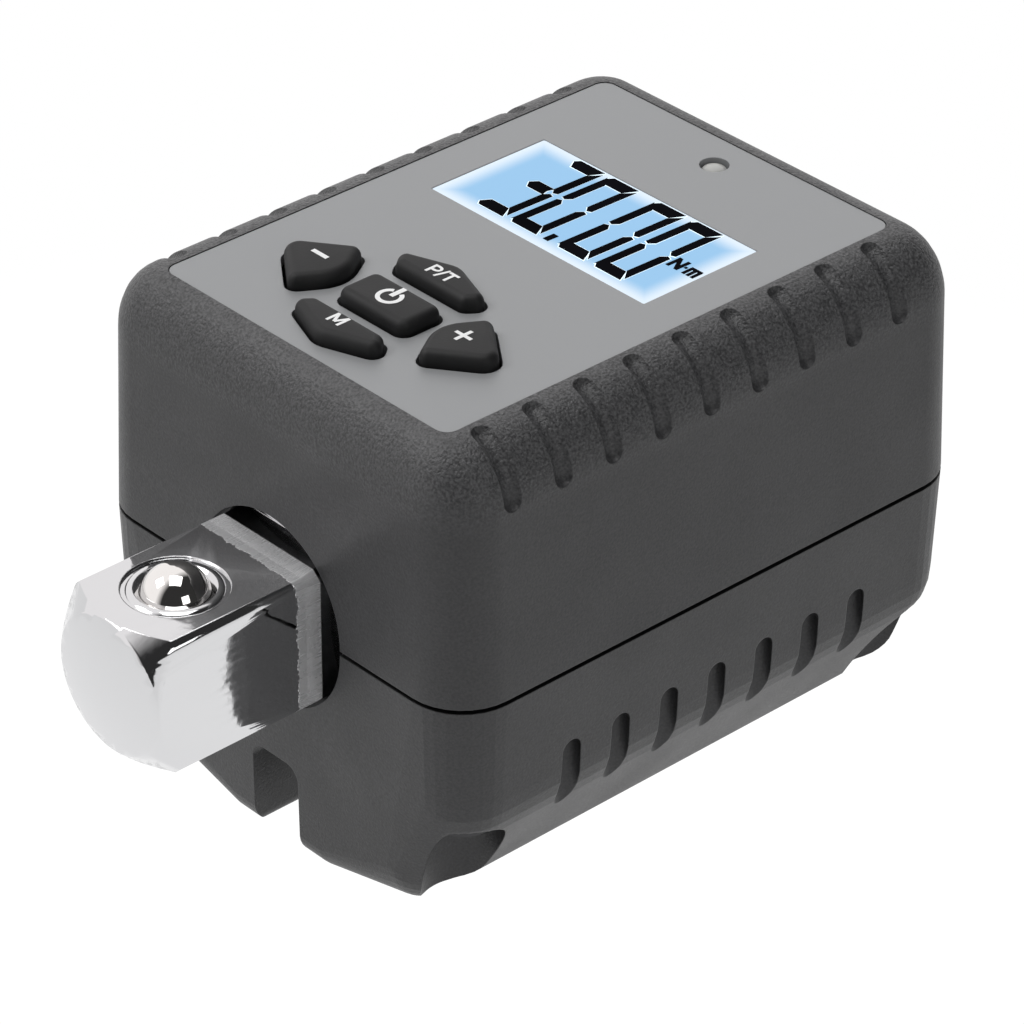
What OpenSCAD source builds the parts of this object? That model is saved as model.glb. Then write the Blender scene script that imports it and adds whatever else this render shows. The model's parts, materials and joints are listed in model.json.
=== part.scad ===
// Digital torque adapter: a steel drive shaft with a strain gauge neck, held between two plastic
// housing halves that carry the display, five rubber keys and two battery cells.
// Millimetres, +Z up, the male square points to -Y. The origin is under the middle of the object.

/* [Housing] */
// Width at the parting line
case_w = 46.2; // [44:0.2:52]
// Length along the shaft
case_len = 58.6; // [57:0.2:66]
// Height of the rim above the shaft axis
crown_h = 23.3; // [23:0.1:27]
// Depth of the keels below the shaft axis
keel_h = 24; // [23.5:0.1:27]
// Radius of the upright corners
corner_r = 5.3; // [5.2:0.1:6]
// Radius of the top edge
crown_r = 4.5; // [3.5:0.1:4.6]
// Mould draft of each half, on one side
draft = 0.35; // [0.1:0.05:0.5]
// Side wall
wall = 2.3; // [1.8:0.1:2.8]
// Wall under the faceplate
top_wall = 1.8; // [1.4:0.1:2.4]
// Width of the dark line between the halves
parting_gap = 0.4; // [0.2:0.05:0.6]

/* [Grip] */
// Grooves along each upper edge
groove_n = 9; // [5:1:10]
// Pitch of the grooves
groove_pitch = 5.42; // [4.5:0.02:5.6]
// Radius of a groove
groove_r = 1.3; // [0.9:0.1:1.5]
// Depth of a groove
groove_depth = 0.8; // [0.4:0.1:1]
// Flutes along each lower side
flute_n = 7; // [3:1:8]
// Pitch of the flutes
flute_pitch = 5.5; // [4:0.1:6]
// Radius of a flute
flute_r = 1.1; // [0.8:0.1:1.4]
// Top of the flutes below the shaft axis
flute_top = 7.1; // [5:0.1:8]

/* [Lower half] */
// Height of the upright part of the lower sides
side_drop = 9.8; // [8:0.1:11]
// Radius where the sides turn in
side_turn_r = 7.5; // [5:0.1:9]
// Lean of the lower sides from upright
side_lean = 30; // [20:1:35]
// Distance from the middle to each haunch centre
haunch_x = 14.1; // [13:0.1:15]
// Radius of the haunch
haunch_r = 4; // [3:0.1:5]
// Height of the haunch centre over the keels
haunch_h = 5.6; // [5:0.1:6.5]
// Distance from the middle to each keel centre
keel_x = 5.5; // [5:0.1:6.5]
// Radius of the keels' ends
keel_r = 2.5; // [1.5:0.1:3]
// Width of the channel between the battery pods
channel_w = 5.8; // [4:0.1:7]
// Height of the channel over the keels
channel_h = 9.1; // [6:0.1:9.5]

/* [Shaft] */
// Width across the flats of the male square
square_af = 12.7; // [12.6:0.01:12.75]
// Width across the flats of the female square
socket_af = 12.85; // [12.8:0.01:12.95]
// Depth of the female square
socket_depth = 17.5; // [16:0.5:19]
// Radius of the bar that the square is milled from
bar_r = 8.6; // [8.2:0.1:8.9]
// How far the male square stands out of the housing
drive_len = 17.4; // [16:0.1:20]
// Radius of the rear barrel
barrel_r = 11.5; // [11:0.1:12]
// Radius of the gauge neck
neck_r = 6.5; // [5:0.1:7.5]

/* [Detent] */
// Diameter of the ball
ball_d = 6; // [5:0.1:6.2]
// How far the ball stands out of the flat
ball_out = 2; // [1.5:0.1:2.2]
// Distance of the ball from the housing front
ball_back = 9.6; // [8:0.1:11]

/* [Faceplate] */
// Width of the faceplate
plate_w = 34.8; // [34:0.2:36]
// Length of the faceplate
plate_len = 49.8; // [49:0.2:51]
// Thickness of the faceplate
plate_t = 1; // [0.6:0.1:1.4]
// Depth of the faceplate below the rim
plate_sink = 0.3; // [0.1:0.05:0.5]
// Distance of the faceplate from the housing front
plate_y = 3.95; // [3.9:0.05:5]
// Width of the display window
window_w = 26; // [24:0.5:27]
// Height of the display window
window_h = 13; // [11:0.5:14]
// Distance of the window centre from the housing front
window_y = 35.9; // [35:0.1:38]
// Distance of the status lamp from the housing front
lamp_y = 50.1; // [49.5:0.1:50.6]
// Radius of the status lamp hole
lamp_hole_r = 1.3; // [1:0.1:1.5]

/* [Keys] */
// Distance of the keypad centre from the housing front
pad_y = 13.4; // [13:0.1:14.5]
// How far the keys stand out of the faceplate
key_out = 1.3; // [0.8:0.1:2]
// Travel of a key
key_travel = 0.9; // [0.5:0.1:1]
// Gap round each key
key_gap = 0.3; // [0.2:0.05:0.4]

/* [Battery] */
// Diameter of a cell
cell_d = 10.5; // [10:0.1:10.8]
// Length of a cell
cell_len = 44.5; // [43:0.5:45]
// Thickness of a battery door
door_t = 1.4; // [1.2:0.1:1.8]

/* [Hidden] */
$fn = 48;
// Overrun of every cut
ov = 0.5;
// Gap between pieces that lie on each other
seat_gap = 0.05;
// Gap between pieces that slip into each other
slip = 0.15;
// Facets of a rounded piece inside a hull
hull_fn = 32;
// Segments of one rounded corner of a key
arc_n = 6;

// Frame: the housing front lies at front_y and the shaft axis at height keel_h
barrel_proud = 0.3;
front_y = (drive_len - case_len - barrel_proud) / 2;

// Levels above the shaft axis
half_gap = parting_gap / 2;
plate_top = crown_h - plate_sink;
plate_low = plate_top - plate_t;
plate_mid = plate_y + plate_len / 2;
roof_z = plate_low - top_wall;
board_t = 1.4;
board_drop = 2.8;
board_top = roof_z - board_drop;
board_low = board_top - board_t;

// Plan of the housing
side_x = case_w / 2;
post_x = side_x - corner_r;
post_y = [corner_r, case_len - corner_r];
inner_x = side_x - wall - draft;
inner_r = corner_r - wall;

// Grip
groove_reach = 9;
flute_in = 0.4;

// Lower half
turn_z = side_drop + side_turn_r * sin(side_lean);
haunch_z = keel_h - haunch_h;
toe_r = 3;
channel_top_r = 1.5;
channel_mouth_r = 1.2;
bay_floor = 9.7;
lip_t = 1;
lip_h = 1;

// Screw pockets in the lower corners, and the screws in them
pocket_r = 3.5;
pocket_x = side_x - 4.6;
pocket_y = 4.7;
pocket_roof = 11.4;
screw_r = 1.5;
screw_head_r = 2.8;
screw_head_h = 2;
screw_bite = 7;
screw_hole_r = 1.7;
post_r = 3.4;
socket_key_r = 1.3;
socket_key_h = 1.2;

// Shaft stations behind the housing front
flange_y = 8;
flange_t = 3;
flange_r = 10.8;
flange_flat_x = 9.2;
neck_y = flange_y + flange_t;
neck_len = 23;
cone_len = 3;
barrel_y = neck_y + neck_len + cone_len;
barrel_end = case_len + barrel_proud;
flat_z = 5.6;
flat_y = neck_y + 4;
flat_len = 16;
runout = 1.3;
dome_r = 27.6;
nose_r = 6.6;
nose_back = 0.8;
nose_slope = 1.25;
edge_chamfer = 0.5;
socket_lead = 0.8;
seat_len = 2.7;
seat_rib = 1.9;
cradle_t = 1.5;
cradle_low = 3;
shaft_gap = 0.3;
catch_r = 2.4;
catch_depth = 0.9;
catch_in = 7.5;

// Detent
ball_r = ball_d / 2;
ball_z = square_af / 2 + ball_out - ball_r;
bore_r = ball_r + 0.06;
lip_r = ball_r - 0.03;
lip_low = 0.1;
mouth_r = 3.45;
mouth_depth = 0.35;
stake_r = 4.5;
stake_depth = 0.25;
bore_floor = ball_z - ball_r - 4.4;
wire_r = 0.28;
coil_r = 2;
coil_turns = 4;
coil_steps = 8;
coil_sides = 6;

// Cells and their doors
pod_wall = 1.2;
cell_r = cell_d / 2;
cell_x = channel_w / 2 + pod_wall + slip + cell_r;
keel_slope = atan((keel_h - keel_r - haunch_z) / (haunch_x - keel_x))
    - asin((haunch_r - keel_r) / norm([haunch_x - keel_x, keel_h - keel_r - haunch_z]));
keel_flat_x = keel_x + keel_r * sin(keel_slope);
cell_floor = keel_h - (cell_x - keel_flat_x) * tan(keel_slope) - door_t;
door_sink = 0.12;
cell_z = cell_floor - door_sink - slip - cell_r;
cell_y = (case_len - cell_len) / 2;
contact_space = 1.2;
contact_front = cell_y - slip - contact_space;
contact_half_w = 4;
tongue = 1;
tongue_inset = 0.5;
nick_r = 4;
nick_depth = 0.7;
nick_share = 0.6;
bridge_h = 1.4;
tab_w = 1.6;
tab_top = 7.6;
tip_r = 1.9;
tip_len = 1.1;
plate_metal = 0.4;
leaf_w = 4.4;

// Display stack
glass_w = 29;
glass_h = 17.2;
glass_t = 2;
glass_top = plate_low - seat_gap;
backlight_w = 27;
backlight_h = 13.6;
strip_w = 1.2;
plate_r = 1.2;

// Lamp
lamp_r = 1.5;
lamp_flange_r = 1.8;
lamp_flange_t = 1;
lamp_top = plate_low - 0.1;

// Keys: corners and corner radii from the keypad centre, written for the right and upper sides
power_half = [4.1, 2.2];
power_corner_r = 0.9;
wing_corners = [[13.4, 0], [7.9, 4.1], [5.4, 0], [7.9, -4.1]];
wing_radii = [1.3, 0.8, 3.4, 0.8];
cap_corners = [[-4.15, 4.2], [4.15, 4.2], [5.45, 5.85], [0, 7.85], [-5.45, 5.85]];
cap_radii = [0.8, 0.8, 0.8, 2.2, 0.8];
flange_grow = 0.7;
flange_deep = 0.7;
key_shoulder = 0.5;
key_inset = 0.75;
key_round = 0.2;
stem_r = 1.5;
contact_r = 2.4;
contact_h = 0.25;
stem_len = board_drop - seat_gap - flange_deep - contact_h - key_travel - slip;
mat_t = 0.8;
mat_half = [14.6, 9.6];
mat_foot_r = 1;
mat_foot_in = 1.4;
wing_centre = 9;
cap_centre = 5.9;

// Board
board_half_w = 18.6;
board_end_half_w = 13.6;
board_margin = 1.4;
board_y = wall + draft + board_margin;
board_notch_y = pocket_y + post_r + board_margin;
board_boss_r = 2.2;
board_boss_y_shares = [0.44, 0.82];
board_boss_x = 16.6;
board_screw_r = 0.9;
board_screw_head_r = 1.8;
board_screw_head_h = 1.3;
board_screw_bite = 2.2;
pilot_gap = 0.02;
chip_sizes = [[7, 7, 1.1], [5, 4, 1.2], [4, 3, 1], [3, 1.6, 0.9], [3, 1.6, 0.9]];
chip_places = [[-10.6, 26], [9.5, 35.5], [-10, 37], [-3, 42.5], [3, 42.5]];
plug_size = [8, 3, 2];
buzzer_r = 6;
buzzer_h = 4.4;
buzzer_y = 29;
buzzer_hole_r = 1;

// Gauges and their flexible lead
gauge_w = 6;
gauge_len = 9;
gauge_t = 0.15;
flex_w = 5;
flex_t = 0.2;
flex_land = 1;
flex_tab = 3;
flex_y = flat_y + flex_land / 2;

// Battery leads
lead_r = 0.65;
lead_sides = 8;
lead_x = 12.4;
lead_y = case_len - contact_front - plate_metal - lead_r - seat_gap;
lead_bow = 1.4;
lead_grip = 1.6;
lead_steps = 12;

function arc(c, r, a0, a1, n) = [for (i = [0:n]) let (a = a0 + (a1 - a0) * i / n) c + r * [cos(a), sin(a)]];
function unit(v) = v / norm(v);

// Convex outline with rounded corners, grown by g: the arcs keep their centres
function rounded(corners, radii, g = 0) = [
    for (i = [0:len(corners) - 1])
        let (p = corners[i], a = corners[(i + len(corners) - 1) % len(corners)],
            b = corners[(i + 1) % len(corners)], u = unit(a - p), v = unit(b - p),
            h = acos(u * v) / 2, c = p + unit(u + v) * radii[i] / sin(h),
            q = p + u * radii[i] / tan(h) - c, s = atan2(q[1], q[0]))
        each arc(c, radii[i] + g, s, s + 180 - 2 * h, arc_n)
];
function flip_x(points) = [for (i = [len(points) - 1:-1:0]) [-points[i][0], points[i][1]]];
function flip_y(points) = [for (i = [len(points) - 1:-1:0]) [points[i][0], -points[i][1]]];
function power_outline(g = 0) = rounded([[power_half[0], -power_half[1]], [power_half[0], power_half[1]],
    [-power_half[0], power_half[1]], [-power_half[0], -power_half[1]]], [for (i = [0:3]) power_corner_r], g);
function plus_outline(g = 0) = rounded(wing_corners, wing_radii, g);
function minus_outline(g = 0) = flip_x(plus_outline(g));
function peak_outline(g = 0) = rounded(cap_corners, cap_radii, g);
function mode_outline(g = 0) = flip_y(peak_outline(g));

// Moves a piece drawn from the housing front and the shaft axis into the object's frame
module in_frame() translate([0, front_y, keel_h]) children();
module both_sides() {
    children();
    mirror([1, 0, 0]) children();
}

// A round bar along the shaft from y, and a cone from r1 to r2
module bar(y, len, r) translate([0, y, 0]) rotate([-90, 0, 0]) cylinder(h = len, r = r, $fn = 96);
module taper(y, len, r1, r2) translate([0, y, 0]) rotate([-90, 0, 0])
    cylinder(h = len, r1 = r1, r2 = r2, $fn = 96);
module block(x, y, z) translate([x[0], y[0], z[0]]) cube([x[1] - x[0], y[1] - y[0], z[1] - z[0]]);
module plan(outline, z0, z1) translate([0, 0, z0]) linear_extrude(z1 - z0) polygon(outline);
module at_posts() for (sx = [-1, 1], y = post_y) translate([sx * post_x, y, 0]) children();
module at_pockets()
    for (sx = [-1, 1], y = [pocket_y, case_len - pocket_y]) translate([sx * pocket_x, y, 0]) children();
module rect_r(w, l, r) {
    square([w, l - 2 * r], center = true);
    square([w - 2 * r, l], center = true);
    for (x = [-1, 1], y = [-1, 1]) translate([x * (w / 2 - r), y * (l / 2 - r)]) circle(r);
}
module slab(w, l, r, y, z0, z1) translate([0, y, z0]) linear_extrude(z1 - z0) rect_r(w, l, r);

// The inside of both halves, grown by g
module inside(g, z0, z1)
    slab(2 * (inner_x + g), case_len - 2 * (wall + draft - g), inner_r + g, case_len / 2, z0, z1);

// A section of the upper half, half wide at the parting line
module crown_profile(half) {
    edge = half - draft - crown_r;
    polygon([[half, half_gap], [half - draft, crown_h - crown_r], [edge, crown_h], [-edge, crown_h],
        [draft - half, crown_h - crown_r], [-half, half_gap]]);
    for (s = [-1, 1]) translate([s * edge, crown_h - crown_r]) circle(crown_r);
}

// The upper half as a solid: two sections that cross and a turned post at each corner
module upper_solid() {
    translate([0, case_len - corner_r, 0]) rotate([90, 0, 0])
        linear_extrude(case_len - 2 * corner_r) crown_profile(side_x);
    translate([-post_x, case_len / 2, 0]) rotate([90, 0, 90])
        linear_extrude(2 * post_x) crown_profile(case_len / 2);
    at_posts() rotate_extrude() intersection() {
        crown_profile(corner_r);
        square([corner_r, crown_h]);
    }
}

// Cutter of one groove that follows the right upper edge
module groove() {
    path_r = crown_r + groove_r - groove_depth;
    translate([side_x - draft - crown_r, 0, crown_h - crown_r]) rotate([90, 0, 0]) {
        rotate([0, 0, -groove_reach]) rotate_extrude(angle = 90 + groove_reach)
            translate([path_r, 0]) circle(groove_r);
        for (a = [-groove_reach, 90]) rotate([0, 0, a]) translate([path_r, 0, 0]) sphere(groove_r);
    }
}

// Seats that carry the shaft at both ends, reaching from one height to the other
module seats(z0, z1, rear_z1) {
    front_half = bar_r + seat_rib;
    rear_half = barrel_r + seat_rib;
    block([-front_half, front_half], [wall, wall + draft + seat_len], [z0, z1]);
    block([-rear_half, rear_half], [case_len - wall - draft - seat_len, case_len - wall], [z0, rear_z1]);
}

// Everything that the shaft needs cut from both halves
module shaft_room() {
    bar(-ov, wall + draft + ov, bar_r + shaft_gap);
    bar(wall, draft + seat_len + ov, bar_r + seat_gap);
    bar(case_len - wall - draft - ov, wall + draft + 2 * ov, barrel_r + shaft_gap);
    bar(barrel_y - cone_len - ov, case_len - barrel_y + cone_len - wall, barrel_r + seat_gap);
}

module key_holes(g, z0, z1) translate([0, pad_y, 0]) {
    plan(power_outline(g), z0, z1);
    plan(plus_outline(g), z0, z1);
    plan(minus_outline(g), z0, z1);
    plan(peak_outline(g), z0, z1);
    plan(mode_outline(g), z0, z1);
}

module upper_case() color("dimgray") in_frame() difference() {
    union() {
        difference() {
            upper_solid();
            inside(0, -ov, roof_z);
        }
        at_pockets() translate([0, 0, seat_gap]) cylinder(h = roof_z, r = post_r);
        for (s = [-1, 1], f = board_boss_y_shares) translate([s * board_boss_x, f * case_len, board_top])
            cylinder(h = board_drop + ov, r = board_boss_r);
        seats(seat_gap, bar_r + seat_rib, barrel_r + seat_rib);
    }
    shaft_room();
    slab(plate_w + 2 * seat_gap, plate_len + 2 * seat_gap, plate_r, plate_mid, plate_low, crown_h + ov);
    slab(glass_w + 2 * slip, glass_h + 2 * slip, slip, window_y, roof_z - ov, crown_h);
    key_holes(key_gap, roof_z - ov, crown_h);
    translate([0, lamp_y, roof_z - ov]) cylinder(h = top_wall + 2 * ov, r = lamp_r + slip);
    difference() {
        inside(lip_t + slip, -ov, lip_h + seat_gap);
        inside(0, -2 * ov, lip_h + ov);
    }
    at_pockets() translate([0, 0, -ov]) cylinder(h = screw_bite + 2 * ov, r = screw_r + pilot_gap);
    for (s = [-1, 1], f = board_boss_y_shares) translate([s * board_boss_x, f * case_len, board_top - ov])
        cylinder(h = board_screw_bite + ov, r = board_screw_r + pilot_gap);
    both_sides() for (i = [0:groove_n - 1])
        translate([0, plate_mid + (i - (groove_n - 1) / 2) * groove_pitch, 0]) groove();
}

// The lower half as a solid: posts that turn in, haunches and keels under one skin
module lower_solid() hull() {
    at_posts() rotate_extrude($fn = hull_fn) polygon(concat([[0, -half_gap], [corner_r, -half_gap]],
        arc([corner_r - draft - side_turn_r, -side_drop], side_turn_r, 0, -side_lean, 3), [[0, -turn_z]]));
    for (sx = [-1, 1], sy = [-1, 1]) translate([0, case_len / 2, 0]) {
        translate([sx * haunch_x, sy * (case_len / 2 - draft - toe_r), -haunch_z])
            scale([haunch_r, toe_r, haunch_r]) sphere(1, $fn = hull_fn);
        translate([sx * keel_x, sy * (case_len / 2 - draft - keel_r), keel_r - keel_h])
            sphere(keel_r, $fn = hull_fn);
    }
}

// The channel between the pods, with rounded inner corners and a rounded mouth
module channel() translate([0, case_len + ov, 0]) rotate([90, 0, 0]) linear_extrude(case_len + 2 * ov) {
    half = channel_w / 2;
    top = channel_h - keel_h;
    translate([-half, -keel_h - ov]) square([channel_w, channel_h + ov - channel_top_r]);
    translate([channel_top_r - half, -keel_h]) square([channel_w - 2 * channel_top_r, channel_h]);
    for (s = [-1, 1]) translate([s * (half - channel_top_r), top - channel_top_r]) circle(channel_top_r);
    for (s = [0, 1]) mirror([s, 0]) difference() {
        translate([0, -keel_h - ov]) square([half + channel_mouth_r, channel_mouth_r + ov]);
        translate([half + channel_mouth_r, channel_mouth_r - keel_h]) circle(channel_mouth_r);
    }
}

// Depth of the keel line below the shaft axis at x
function keel_line(x) = keel_h - max(0, x - keel_flat_x) * tan(keel_slope);

// A strip of the right pod's underside, from x[0] to x[1] and y[0] to y[1], between two heights over it
module keel_strip(x, y, h0, h1) translate([0, y[1], 0]) rotate([90, 0, 0]) linear_extrude(y[1] - y[0]) {
    bend = max(keel_flat_x, x[0] + seat_gap);
    polygon([[x[0], h0 - keel_line(x[0])], [bend, h0 - keel_line(bend)], [x[1], h0 - keel_line(x[1])],
        [x[1], h1 - keel_line(x[1])], [bend, h1 - keel_line(bend)], [x[0], h1 - keel_line(x[0])]]);
}

// The right door's plan between two heights, grown by g
module door_shape(g, h0, h1) {
    cell_half = cell_r + slip + g;
    cell_ends = [cell_y - slip - g, cell_y + cell_len + slip + g];
    tongue_half = contact_half_w - tongue_inset + g;
    keel_strip([cell_x - cell_half, cell_x + cell_half], cell_ends, h0, h1);
    keel_strip([cell_x - tongue_half, cell_x + tongue_half], cell_ends + [-tongue, tongue], h0, h1);
}
module door_nick() translate([cell_x - cell_r - slip - nick_r * nick_share, case_len / 2, -keel_h - ov])
    cylinder(h = ov + nick_depth, r = nick_r);

// The right battery space, open below, with a narrower space for the contact at each end
module cell_room() {
    half = cell_r + slip;
    ends = [cell_y - slip, cell_y + cell_len + slip];
    translate([cell_x, 0, -cell_z]) bar(ends[0], ends[1] - ends[0], half);
    block([cell_x - half, cell_x + half], ends, [-keel_h - ov, -cell_z]);
    translate([cell_x, 0, -cell_z]) block([-contact_half_w, contact_half_w],
        ends + [-contact_space, contact_space], [-contact_half_w, contact_half_w]);
    door_shape(0, -ov, door_sink + door_t + seat_gap);
}

// Slots from the bay down to the contacts: one across both pods in front, one for each pod behind
module contact_slots() {
    far = cell_x + contact_half_w;
    depth = plate_metal + slip;
    low = contact_half_w - cell_z;
    block([-far, far], [contact_front, contact_front + depth], [low - bridge_h - 2 * slip, ov - bay_floor]);
    for (s = [-1, 1]) translate([s * cell_x, case_len - contact_front - depth, low - ov])
        block([-contact_half_w, contact_half_w], [0, depth], [0, 2 * ov - bay_floor - low]);
}

module flutes() for (i = [0:flute_n - 1])
    translate([side_x - draft - flute_in, case_len / 2 + (i - (flute_n - 1) / 2) * flute_pitch, 0]) {
        translate([0, 0, -flute_top - flute_r]) sphere(flute_r);
        translate([0, 0, -haunch_z]) cylinder(h = haunch_z - flute_top - flute_r, r = flute_r);
    }

// Ribs that hold the flange of the shaft from both sides
module flange_cradle() block([-flange_r - seat_rib, flange_r + seat_rib],
    [flange_y - cradle_t, flange_y + flange_t + cradle_t], [-bay_floor - ov, -cradle_low]);
module flange_body(g) intersection() {
    bar(flange_y - g, flange_t + 2 * g, flange_r + g);
    translate([0, flange_y, 0]) block([-flange_flat_x - g, flange_flat_x + g], [-ov, flange_t + ov],
        [-flange_r - ov, flange_r + ov]);
}

module lower_case() color("dimgray") in_frame() difference() {
    union() {
        difference() {
            lower_solid();
            inside(0, -bay_floor, ov);
        }
        at_pockets() translate([0, 0, -bay_floor - ov]) cylinder(h = bay_floor + ov, r = post_r);
        seats(-bay_floor - ov, 0, 0);
        flange_cradle();
        difference() {
            inside(lip_t, -half_gap - ov, lip_h);
            inside(0, -half_gap - 2 * ov, lip_h + ov);
        }
    }
    shaft_room();
    flange_body(seat_gap);
    bar(flange_y - cradle_t - ov, flange_t + 2 * cradle_t + 2 * ov, bar_r + seat_gap);
    both_sides() {
        cell_room();
        flutes();
        door_nick();
    }
    contact_slots();
    channel();
    at_pockets() {
        translate([0, 0, -keel_h - ov]) cylinder(h = keel_h + ov - pocket_roof, r = pocket_r);
        translate([0, 0, -pocket_roof - ov]) cylinder(h = pocket_roof + lip_h + 2 * ov, r = screw_hole_r);
    }
}

module face_panel() color("darkgray") in_frame() difference() {
    slab(plate_w, plate_len, plate_r, plate_mid, plate_low, plate_top);
    slab(window_w, window_h, slip, window_y, plate_low - ov, plate_top + ov);
    key_holes(key_gap, plate_low - ov, plate_top + ov);
    translate([0, lamp_y, plate_low - ov]) cylinder(h = plate_t + 2 * ov, r = lamp_hole_r);
}

module lcd_window() color("lightskyblue") in_frame()
    slab(window_w - 2 * seat_gap, window_h - 2 * seat_gap, slip, window_y, plate_low, plate_top - seat_gap);

module lcd_glass() color("lightblue") in_frame()
    slab(glass_w, glass_h, slip, window_y, glass_top - glass_t, glass_top);

module lcd_backlight() color("white") in_frame()
    slab(backlight_w, backlight_h, slip, window_y, board_top + seat_gap, glass_top - glass_t - seat_gap);

module lcd_connector_strips() color("pink") in_frame() for (s = [-1, 1])
    translate([0, window_y + s * (glass_h - strip_w) / 2, 0])
        block([-backlight_w, backlight_w] / 2, [-strip_w, strip_w] / 2, [board_top, glass_top - glass_t]);

module status_led() color("gainsboro") in_frame() translate([0, lamp_y, 0]) {
    translate([0, 0, board_top]) cylinder(h = lamp_flange_t, r = lamp_flange_r);
    translate([0, 0, board_top]) cylinder(h = lamp_top - lamp_r - board_top, r = lamp_r);
    translate([0, 0, lamp_top - lamp_r]) sphere(lamp_r);
}

module keypad_mat() color("black") in_frame() {
    top = roof_z - seat_gap;
    foot = mat_half - [mat_foot_in, mat_foot_in];
    difference() {
        translate([0, pad_y, 0]) block([-1, 1] * mat_half[0], [-1, 1] * mat_half[1], [top - mat_t, top]);
        key_holes(flange_grow + key_gap, top - mat_t - ov, roof_z);
    }
    for (x = [-1, 1], y = [-1, 1]) translate([x * foot[0], pad_y + y * foot[1], board_top + seat_gap])
        cylinder(h = board_drop - mat_t - seat_gap, r = mat_foot_r);
}

// One key: a flange under the roof, a shaft through the faceplate, a domed top and a stem at centre
module key(top, flange, shoulder, crown, centre) color("black") in_frame() translate([0, pad_y, 0]) {
    under = roof_z - seat_gap;
    slice = seat_gap;
    plan(flange, under - flange_deep, under);
    plan(top, under - slice, plate_top + key_shoulder);
    hull() {
        plan(top, plate_top, plate_top + key_shoulder);
        plan(shoulder, plate_top, plate_top + (key_shoulder + key_out) / 2 + slice);
        plan(crown, plate_top, plate_top + key_out);
    }
    translate([centre[0], centre[1], under - flange_deep - stem_len])
        cylinder(h = stem_len + slice, r = stem_r);
}
module key_power() key(power_outline(), power_outline(flange_grow), power_outline(-key_round),
    power_outline(-key_inset), [0, 0]);
module key_plus() key(plus_outline(), plus_outline(flange_grow), plus_outline(-key_round),
    plus_outline(-key_inset), [wing_centre, 0]);
module key_minus() key(minus_outline(), minus_outline(flange_grow), minus_outline(-key_round),
    minus_outline(-key_inset), [-wing_centre, 0]);
module key_peak() key(peak_outline(), peak_outline(flange_grow), peak_outline(-key_round),
    peak_outline(-key_inset), [0, cap_centre]);
module key_mode() key(mode_outline(), mode_outline(flange_grow), mode_outline(-key_round),
    mode_outline(-key_inset), [0, -cap_centre]);

module dome_contacts() color("silver") in_frame()
    for (c = [[0, 0], [wing_centre, 0], [-wing_centre, 0], [0, cap_centre], [0, -cap_centre]])
        translate([c[0], pad_y + c[1], board_top]) cylinder(h = contact_h, r = contact_r);

module main_board() color("darkgreen") in_frame() difference() {
    union() {
        block([-1, 1] * board_end_half_w, [board_y, case_len - board_y], [board_low, board_top]);
        block([-1, 1] * board_half_w, [board_notch_y, case_len - board_notch_y], [board_low, board_top]);
    }
    for (s = [-1, 1], f = board_boss_y_shares) translate([s * board_boss_x, f * case_len, board_low - ov])
        cylinder(h = board_t + 2 * ov, r = board_screw_r + slip);
}

module board_parts() color("dimgray") in_frame() {
    for (i = [0:len(chip_sizes) - 1]) let (c = chip_sizes[i], p = chip_places[i])
        translate([p[0] - c[0] / 2, p[1] - c[1] / 2, board_low - c[2]]) cube(c);
    translate([-plug_size[0] / 2, flex_y - flex_tab - plug_size[1], board_low - plug_size[2]])
        cube(plug_size);
}

module buzzer() color("black") in_frame() translate([0, buzzer_y, board_low - buzzer_h]) difference() {
    cylinder(h = buzzer_h, r = buzzer_r);
    translate([0, 0, -ov]) cylinder(h = 2 * ov, r = buzzer_hole_r);
}

module board_screws() color("silver") in_frame() for (s = [-1, 1], f = board_boss_y_shares)
    translate([s * board_boss_x, f * case_len, board_low]) {
        translate([0, 0, -board_screw_head_h]) cylinder(h = board_screw_head_h, r = board_screw_head_r);
        cylinder(h = board_t + board_screw_bite - slip, r = board_screw_r);
    }

// Cutter of one flat of the male square, which runs out at the housing
module drive_flat() rotate([90, 0, 90]) translate([0, 0, -bar_r - ov]) linear_extrude(2 * (bar_r + ov))
    polygon([[-drive_len - ov, square_af / 2], [-runout, square_af / 2], [-runout / 8, bar_r + ov],
        [-drive_len - ov, bar_r + ov]]);

// The detent's bore, with the seat that keeps the ball in and a staked ring round it
module detent_bore() translate([0, -ball_back, 0]) {
    top = square_af / 2;
    translate([0, 0, bore_floor]) cylinder(h = top - mouth_depth - lip_low - bore_floor, r = bore_r);
    translate([0, 0, bore_floor]) cylinder(h = top - bore_floor, r = lip_r);
    translate([0, 0, top - mouth_depth]) cylinder(h = mouth_depth, r1 = lip_r, r2 = mouth_r);
    translate([0, 0, top]) cylinder(h = ov, r = mouth_r);
    translate([0, 0, top - stake_depth]) difference() {
        cylinder(h = stake_depth + ov, r = stake_r);
        translate([0, 0, -ov]) cylinder(h = stake_depth + 2 * ov, r1 = stake_r, r2 = mouth_r);
    }
}

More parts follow.
